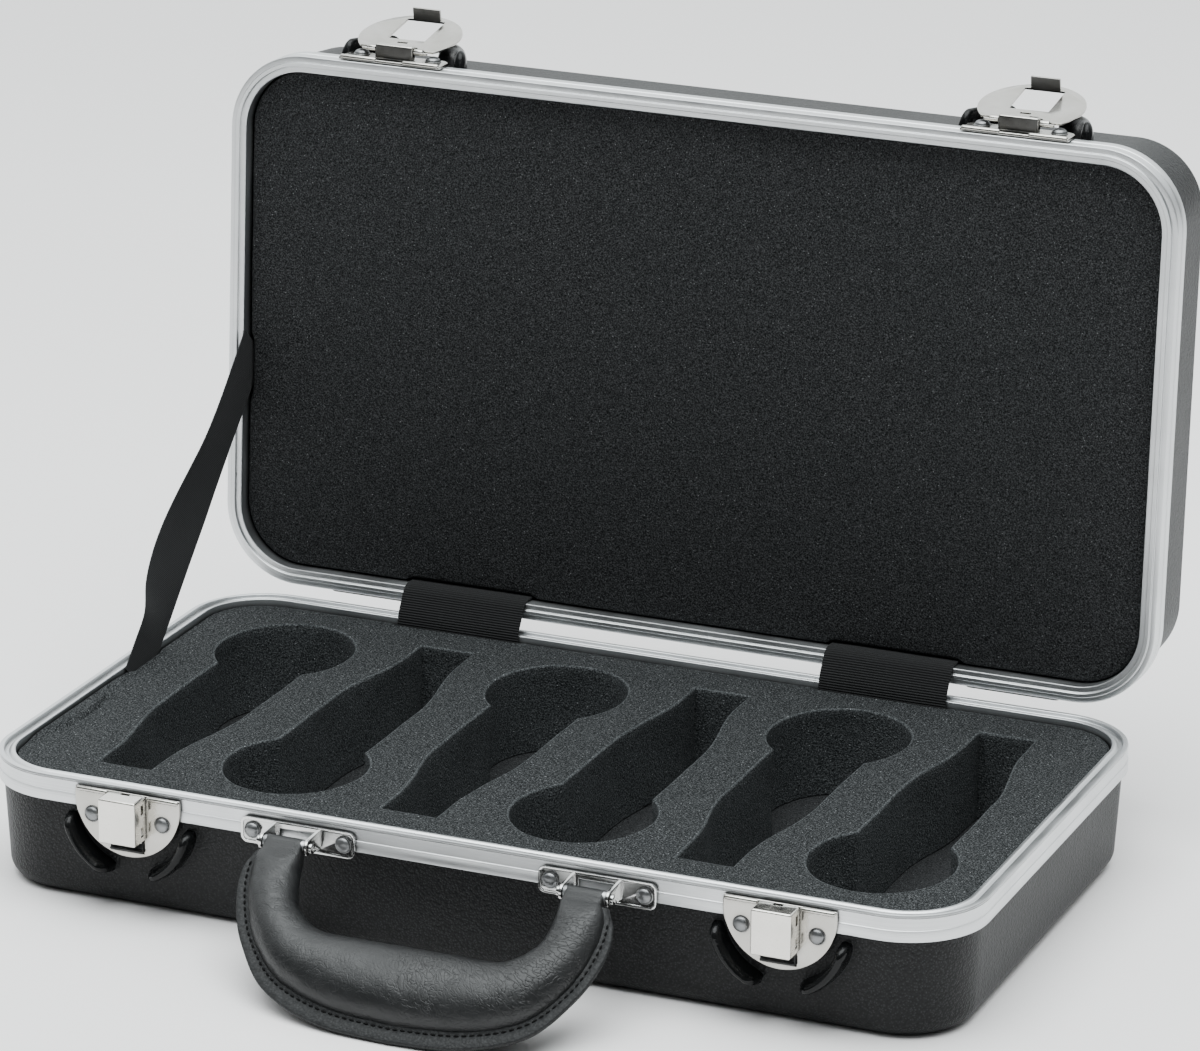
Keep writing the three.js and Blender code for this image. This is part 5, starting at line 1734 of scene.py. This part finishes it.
def stitch(surface, at, along, length):
    """One stitch on each face of the flange, sunk at its ends."""
    across = Vector((-along.y, along.x))
    for face in (-1, 1):
        rings = []
        for share in (-1, -0.86, -0.5, 0, 0.5, 0.86, 1):
            thick = STITCH_RADIUS * math.sqrt(max(1 - share ** 2, 0.08))
            rise = face * (FLANGE_THICKNESS / 2 - 0.25 + 0.35 * (1 - share ** 2))
            ring = []
            for step in range(6):
                angle = step / 6 * 2 * math.pi
                point = at + along * share * length / 2 + across * thick * math.cos(angle)
                ring.append(handle_point(point.x, point.y, rise + thick * math.sin(angle)))
            rings.append(ring)
        surface.loft(rings)


def handle_pieces():
    """The padded grip with its flange as one piece, and the sewing as another."""
    surface = Surface()
    grip_tube(surface)
    grip_flange(surface)
    materials = [finish("leatherette", leatherette), finish("flange_leatherette", grained_flange)]
    grip = surface.piece("padded_handle_grip", materials, sharp=75)
    seat(grip, "handle", "leather", "handle_grip")
    sewing = Surface()
    stitches(sewing)
    thread_piece = sewing.piece("handle_stitching", [finish("sewing_thread", thread)], sharp=80)
    seat(thread_piece, "handle", "leather")


# Studio: angles are degrees, and the lens and sensor are millimetres

CAMERA_TARGET = (0.0023, 0.0309, 0.1469)
CAMERA_DISTANCE = 2.5179
CAMERA_AZIMUTH = 22.62
CAMERA_ELEVATION = 18.881
CAMERA_ROLL = 0.549
LENS = 174.75
SENSOR = 36
ROOM_TINT = (0.955, 1.0, 1.01)
ROOM_LIGHT_AXIS = (-0.25, 0.5, 0.8)
ROOM_LIGHT_SPAN = (0.15, 0.85)
FLOOR_REACH = 9.0

# Each softbox has a name, a place, the point that it faces, a size and a share of the top light's power.
SOFTBOXES = (
    ("overhead_softbox", (0.1, -0.3, 2.2), (0, 0, 0.1), (2.4, 2.0), 1.0),
    ("right_softbox", (2.2, -0.4, 1.1), (0, 0, 0.12), (1.2, 1.6), 0.03),
    ("front_softbox", (0.5, -2.6, 2.1), (0, 0, 0.05), (0.6, 0.5), 0.06),
)


def studio_camera():
    azimuth, elevation = math.radians(CAMERA_AZIMUTH), math.radians(CAMERA_ELEVATION)
    level = math.cos(elevation)
    away = Vector((math.sin(azimuth) * level, -math.cos(azimuth) * level, math.sin(elevation)))
    data = bpy.data.cameras.new("studio_camera")
    data.lens = LENS
    data.sensor_width = SENSOR
    data.clip_end = 50
    camera = bpy.data.objects.new("studio_camera", data)
    turn = (-away).to_track_quat("-Z", "Y").to_matrix().to_4x4()
    roll = Matrix.Rotation(math.radians(CAMERA_ROLL), 4, "Z")
    camera.matrix_world = Matrix.Translation(Vector(CAMERA_TARGET) + away * CAMERA_DISTANCE) @ turn @ roll
    bpy.context.scene.collection.objects.link(camera)
    bpy.context.scene.camera = camera


def studio_light(name, place, target, size, watts):
    data = bpy.data.lights.new(name, "AREA")
    data.shape = "RECTANGLE"
    data.size, data.size_y = size
    data.energy = watts
    data.color = ROOM_TINT
    light = bpy.data.objects.new(name, data)
    aim = (Vector(target) - Vector(place)).to_track_quat("-Z", "Y").to_matrix().to_4x4()
    light.matrix_world = Matrix.Translation(Vector(place)) @ aim
    bpy.context.scene.collection.objects.link(light)


def studio_floor():
    surface = Surface()
    corners = ((-1, -1), (1, -1), (1, 1), (-1, 1))
    surface.add([(x * FLOOR_REACH, y * FLOOR_REACH, 0) for x, y in corners], [[0, 1, 2, 3]])
    floor = surface.piece("studio_floor", [finish("pale_floor", floor_paint)])


def studio_world():
    """A pale sweep overhead and behind the case, with less light from the front."""
    settings = bpy.context.scene.case_studio
    world = bpy.data.worlds.new("soft_room")
    world.use_nodes = True
    tree = world.node_tree
    background = tree.nodes["Background"]
    background.inputs["Color"].default_value = (*ROOM_TINT, 1)
    place = tree.nodes.new("ShaderNodeTexCoord")
    toward = tree.nodes.new("ShaderNodeVectorMath")
    toward.operation = "DOT_PRODUCT"
    toward.inputs[1].default_value = Vector(ROOM_LIGHT_AXIS).normalized()
    tree.links.new(place.outputs["Generated"], toward.inputs[0])
    share = tree.nodes.new("ShaderNodeMapRange")
    share.interpolation_type = "SMOOTHSTEP"
    share.inputs["From Min"].default_value = ROOM_LIGHT_SPAN[0]
    share.inputs["From Max"].default_value = ROOM_LIGHT_SPAN[1]
    share.inputs["To Min"].default_value = settings.front_light
    share.inputs["To Max"].default_value = settings.room_light
    tree.links.new(toward.outputs["Value"], share.inputs["Value"])
    tree.links.new(share.outputs["Result"], background.inputs["Strength"])
    bpy.context.scene.world = world


# Settings that a user would change

def length_setting(name, description, default_mm, low_mm=0.0, high_mm=50.0):
    return bpy.props.FloatProperty(
        name=name, description=description, default=default_mm * MM, min=low_mm * MM, max=high_mm * MM,
        precision=5, unit="LENGTH",
    )


def colour_setting(name, description, default):
    return bpy.props.FloatVectorProperty(
        name=name, description=description, default=default, size=3, min=0.0, max=1.0, subtype="COLOR",
    )


def factor_setting(name, description, default, high=1.0):
    return bpy.props.FloatProperty(
        name=name, description=description, default=default, min=0.0, max=high, subtype="FACTOR",
    )


class CaseFrameSettings(bpy.types.PropertyGroup):
    colour: colour_setting("Aluminium", "Colour of the extruded frames", (0.7, 0.714, 0.723))
    roughness: factor_setting("Roughness", "How satin the anodised finish is", 0.38)


class CaseShellSettings(bpy.types.PropertyGroup):
    colour: colour_setting("Plastic", "Colour of the moulded shells", (0.0105, 0.0111, 0.0116))
    roughness: factor_setting("Roughness", "Roughness of the grained plastic", 0.46)
    grain_per_metre: bpy.props.FloatProperty(
        name="Grain", description="Grain cells to a metre", default=1000.0, min=100.0, max=2000.0,
    )
    grain_strength: factor_setting("Grain Strength", "How deep the leather grain reads", 0.8)
    shine: factor_setting("Shine", "How strongly the plastic reflects", 0.2)


class CaseFoamSettings(bpy.types.PropertyGroup):
    base_colour: colour_setting("Base Foam", "Colour of the pocketed foam", (0.0208, 0.0228, 0.0237))
    lid_colour: colour_setting("Lid Foam", "Colour of the lid's foam", (0.0212, 0.0219, 0.0228))
    speck_colour: colour_setting("Specks", "Colour of the pale specks in the foam", (0.13, 0.135, 0.138))
    edge_softness: length_setting("Edge Softness", "Rounding of the cut edges", 1.0, 0.2, 3.0)


class CaseWebbingSettings(bpy.types.PropertyGroup):
    cover_colour: colour_setting("Hinge Webbing", "Colour of the hinge covers", (0.0052, 0.0053, 0.0055))
    strap_colour: colour_setting("Strap", "Colour of the stay strap", (0.0125, 0.0128, 0.0132))
    rib_pitch: length_setting("Rib Pitch", "Distance between the ribs of the hinge covers", 1.15, 0.5, 3.0)


class CaseFittingSettings(bpy.types.PropertyGroup):
    nickel_colour: colour_setting("Nickel", "Colour of the latches and hasps", (0.49, 0.474, 0.44))
    nickel_roughness: factor_setting("Nickel Roughness", "Roughness of the nickel plating", 0.17)
    chrome_colour: colour_setting("Chrome", "Colour of the handle brackets", (0.66, 0.66, 0.65))
    chrome_roughness: factor_setting("Chrome Roughness", "Roughness of the chrome plating", 0.12)
    steel_colour: colour_setting("Steel", "Colour of the zinc-plated hinges and springs", (0.50, 0.51, 0.52))
    button_proud: length_setting("Button Height", "How far a latch's button stands out", 11.8, 6.0, 14.0)
    rivet_height: length_setting("Rivet Height", "Height of a rivet's dome", 2.1, 0.8, 2.2)


class CaseHandleSettings(bpy.types.PropertyGroup):
    colour: colour_setting("Leatherette", "Colour of the padded grip", (0.0085, 0.009, 0.0094))
    thread_colour: colour_setting("Thread", "Colour of the stitches", (0.0025, 0.0025, 0.0026))
    wrinkle_depth: length_setting("Wrinkle Depth", "Depth of the grip's larger wrinkles", 0.7, 0.0, 2.0)
    crease_strength: factor_setting("Creases", "How deep the fine creases read", 0.55)
    stitch_pitch: length_setting("Stitch Pitch", "Distance from stitch to stitch", 3.3, 1.5, 8.0)


class CaseStudioSettings(bpy.types.PropertyGroup):
    floor_colour: colour_setting("Floor", "Colour of the studio floor", (0.95, 0.93, 0.925))
    room_light: factor_setting("Room Light", "Strength of the light from above and behind", 2.0, 4.0)
    front_light: factor_setting("Front Light", "Strength of the light from the front", 0.07, 4.0)
    top_light: bpy.props.FloatProperty(
        name="Top Light", description="Power of the soft light overhead", default=80.0, min=0.0, max=1000.0,
        unit="POWER",
    )


# Operators

class AddFrames(bpy.types.Operator):
    """Add the two extruded aluminium frames"""

    bl_idname = "carrying_case.add_frames"
    bl_label = "Add Frames"

    def execute(self, context):
        frame_piece("base", BASE_SECTION)
        frame_piece("lid", LID_SECTION)
        return {"FINISHED"}


class AddShells(bpy.types.Operator):
    """Add the moulded base and lid shells with their guards and feet"""

    bl_idname = "carrying_case.add_shells"
    bl_label = "Add Shells"

    def execute(self, context):
        shell_piece("base")
        shell_piece("lid")
        return {"FINISHED"}


class AddFoam(bpy.types.Operator):
    """Add the pocketed insert, the floor pad and the lid lining"""

    bl_idname = "carrying_case.add_foam"
    bl_label = "Add Foam"

    def execute(self, context):
        pocket_foam_piece()
        floor_pad_piece()
        lid_foam_piece()
        return {"FINISHED"}


class AddHingeCovers(bpy.types.Operator):
    """Add the ribbed webbing over both hinges"""

    bl_idname = "carrying_case.add_hinge_covers"
    bl_label = "Add Hinge Covers"

    def execute(self, context):
        for name, side in SIDES.items():
            hinge_cover_piece(name, side)
        return {"FINISHED"}


class AddStayStrap(bpy.types.Operator):
    """Add the webbing strap that stops the lid"""

    bl_idname = "carrying_case.add_stay_strap"
    bl_label = "Add Stay Strap"

    def execute(self, context):
        stay_strap_piece()
        return {"FINISHED"}


class AddLatches(bpy.types.Operator):
    """Add the latch plates, buttons, catches and springs on the base"""

    bl_idname = "carrying_case.add_latches"
    bl_label = "Add Latches"

    def execute(self, context):
        spring = finish("zinc_steel", zinc)
        # The catches take the near-black steel: painted shade in the slots.
        catch = finish("painted_shade_catch_steel", painted_shade_steel)
        for name, side in SIDES.items():
            latch_plate_piece(name, side)
            latch_button_piece(name, side)
            fitting_piece(f"latch_catch_{name}", f"button_{name}", "nickel", catch, CATCH_ROUND)
            fitting_piece(f"latch_spring_{name}", "base", "steel", spring, SPRING_ROUND)
        return {"FINISHED"}


class AddHasps(bpy.types.Operator):
    """Add the hasps with their plates, pins and springs on the lid"""

    bl_idname = "carrying_case.add_hasps"
    bl_label = "Add Hasps"

    def execute(self, context):
        metal = finish("zinc_steel", zinc)
        for name, side in SIDES.items():
            hasp_plate_piece(name, side)
            hasp_piece(name)
            fitting_piece(f"hasp_pin_{name}", "lid", "steel", metal, STEEL_ROUND)
            fitting_piece(f"hasp_spring_{name}", "lid", "steel", metal, SPRING_ROUND)
        return {"FINISHED"}


class AddRivets(bpy.types.Operator):
    """Add the domed rivets of the latches, hasps and handle brackets"""

    bl_idname = "carrying_case.add_rivets"
    bl_label = "Add Rivets"

    def execute(self, context):
        metal = finish("rivet_steel", rivet_steel)
        for name, side in SIDES.items():
            for end_name, end in (("outer", side), ("inner", -side)):
                for kind, half, place, apart, drop, slot in RIVET_SETS:
                    node = f"{kind}_rivet_{name}_{end_name}"
                    rivet_piece(node, half, side * place + end * apart, drop, metal, slot)
        return {"FINISHED"}


class AddHinges(bpy.types.Operator):
    """Add the hinge leaves and pins on the back"""

    bl_idname = "carrying_case.add_hinges"
    bl_label = "Add Hinges"

    def execute(self, context):
        metal = finish("zinc_steel", zinc)
        for name in SIDES:
            fitting_piece(f"hinge_leaf_base_{name}", "base", "steel", metal, STEEL_ROUND)
            fitting_piece(f"hinge_leaf_lid_{name}", "lid", "steel", metal, STEEL_ROUND)
            fitting_piece(f"hinge_pin_{name}", "base", "steel", metal, STEEL_ROUND)
        return {"FINISHED"}


class AddHandle(bpy.types.Operator):
    """Add the padded grip with its flange and stitches, and the steel ends inside it"""

    bl_idname = "carrying_case.add_handle"
    bl_label = "Add Handle"

    def execute(self, context):
        handle_pieces()
        metal = finish("zinc_steel", zinc)
        for name in SIDES:
            fitting_piece(f"handle_end_{name}", "handle", "steel", metal, STEEL_ROUND)
        return {"FINISHED"}


class AddHandleBrackets(bpy.types.Operator):
    """Add the chrome brackets with their ears and the pivot pins"""

    bl_idname = "carrying_case.add_handle_brackets"
    bl_label = "Add Handle Brackets"

    def execute(self, context):
        metal = finish("chrome_plate", chrome)
        for name in SIDES:
            fitting_piece(f"handle_bracket_{name}", "base", "chrome", metal, BRACKET_ROUND)
            fitting_piece(f"handle_pin_{name}", "base", "chrome", metal, HANDLE_PIN_ROUND)
        return {"FINISHED"}


class SetStudio(bpy.types.Operator):
    """Set the pale floor, the soft lights and the camera"""

    bl_idname = "carrying_case.set_studio"
    bl_label = "Set Studio"

    def execute(self, context):
        settings = context.scene.case_studio
        studio_camera()
        studio_floor()
        studio_world()
        for name, place, target, size, share in SOFTBOXES:
            studio_light(name, place, target, size, settings.top_light * share)
        return {"FINISHED"}


class CarryingCasePanel(bpy.types.Panel):
    """Lists the case's pieces in the 3D view's sidebar"""

    bl_idname = "VIEW3D_PT_carrying_case"
    bl_label = "Carrying Case"
    bl_space_type = "VIEW_3D"
    bl_region_type = "UI"
    bl_category = "Carrying Case"

    def draw(self, context):
        for group in SETTINGS:
            settings = getattr(context.scene, group)
            box = self.layout.box()
            for key in settings.__annotations__:
                box.prop(settings, key)
        for operator in OPERATORS:
            self.layout.operator(operator.bl_idname)


SETTINGS = {
    "case_frame": CaseFrameSettings,
    "case_shell": CaseShellSettings,
    "case_foam": CaseFoamSettings,
    "case_webbing": CaseWebbingSettings,
    "case_fittings": CaseFittingSettings,
    "case_handle": CaseHandleSettings,
    "case_studio": CaseStudioSettings,
}
OPERATORS = (
    SetStudio, AddFrames, AddShells, AddFoam, AddHingeCovers, AddStayStrap, AddLatches, AddHasps, AddRivets,
    AddHinges, AddHandle, AddHandleBrackets,
)


def register():
    for name, group in SETTINGS.items():
        bpy.utils.register_class(group)
        setattr(bpy.types.Scene, name, bpy.props.PointerProperty(type=group))
    for operator in OPERATORS:
        bpy.utils.register_class(operator)
    bpy.utils.register_class(CarryingCasePanel)


def unregister():
    bpy.utils.unregister_class(CarryingCasePanel)
    for operator in reversed(OPERATORS):
        bpy.utils.unregister_class(operator)
    for name, group in reversed(SETTINGS.items()):
        delattr(bpy.types.Scene, name)
        bpy.utils.unregister_class(group)


def main():
    register()
    for operator in OPERATORS:
        family, action = operator.bl_idname.split(".")
        getattr(getattr(bpy.ops, family), action)()


if __name__ == "__main__":
    main()
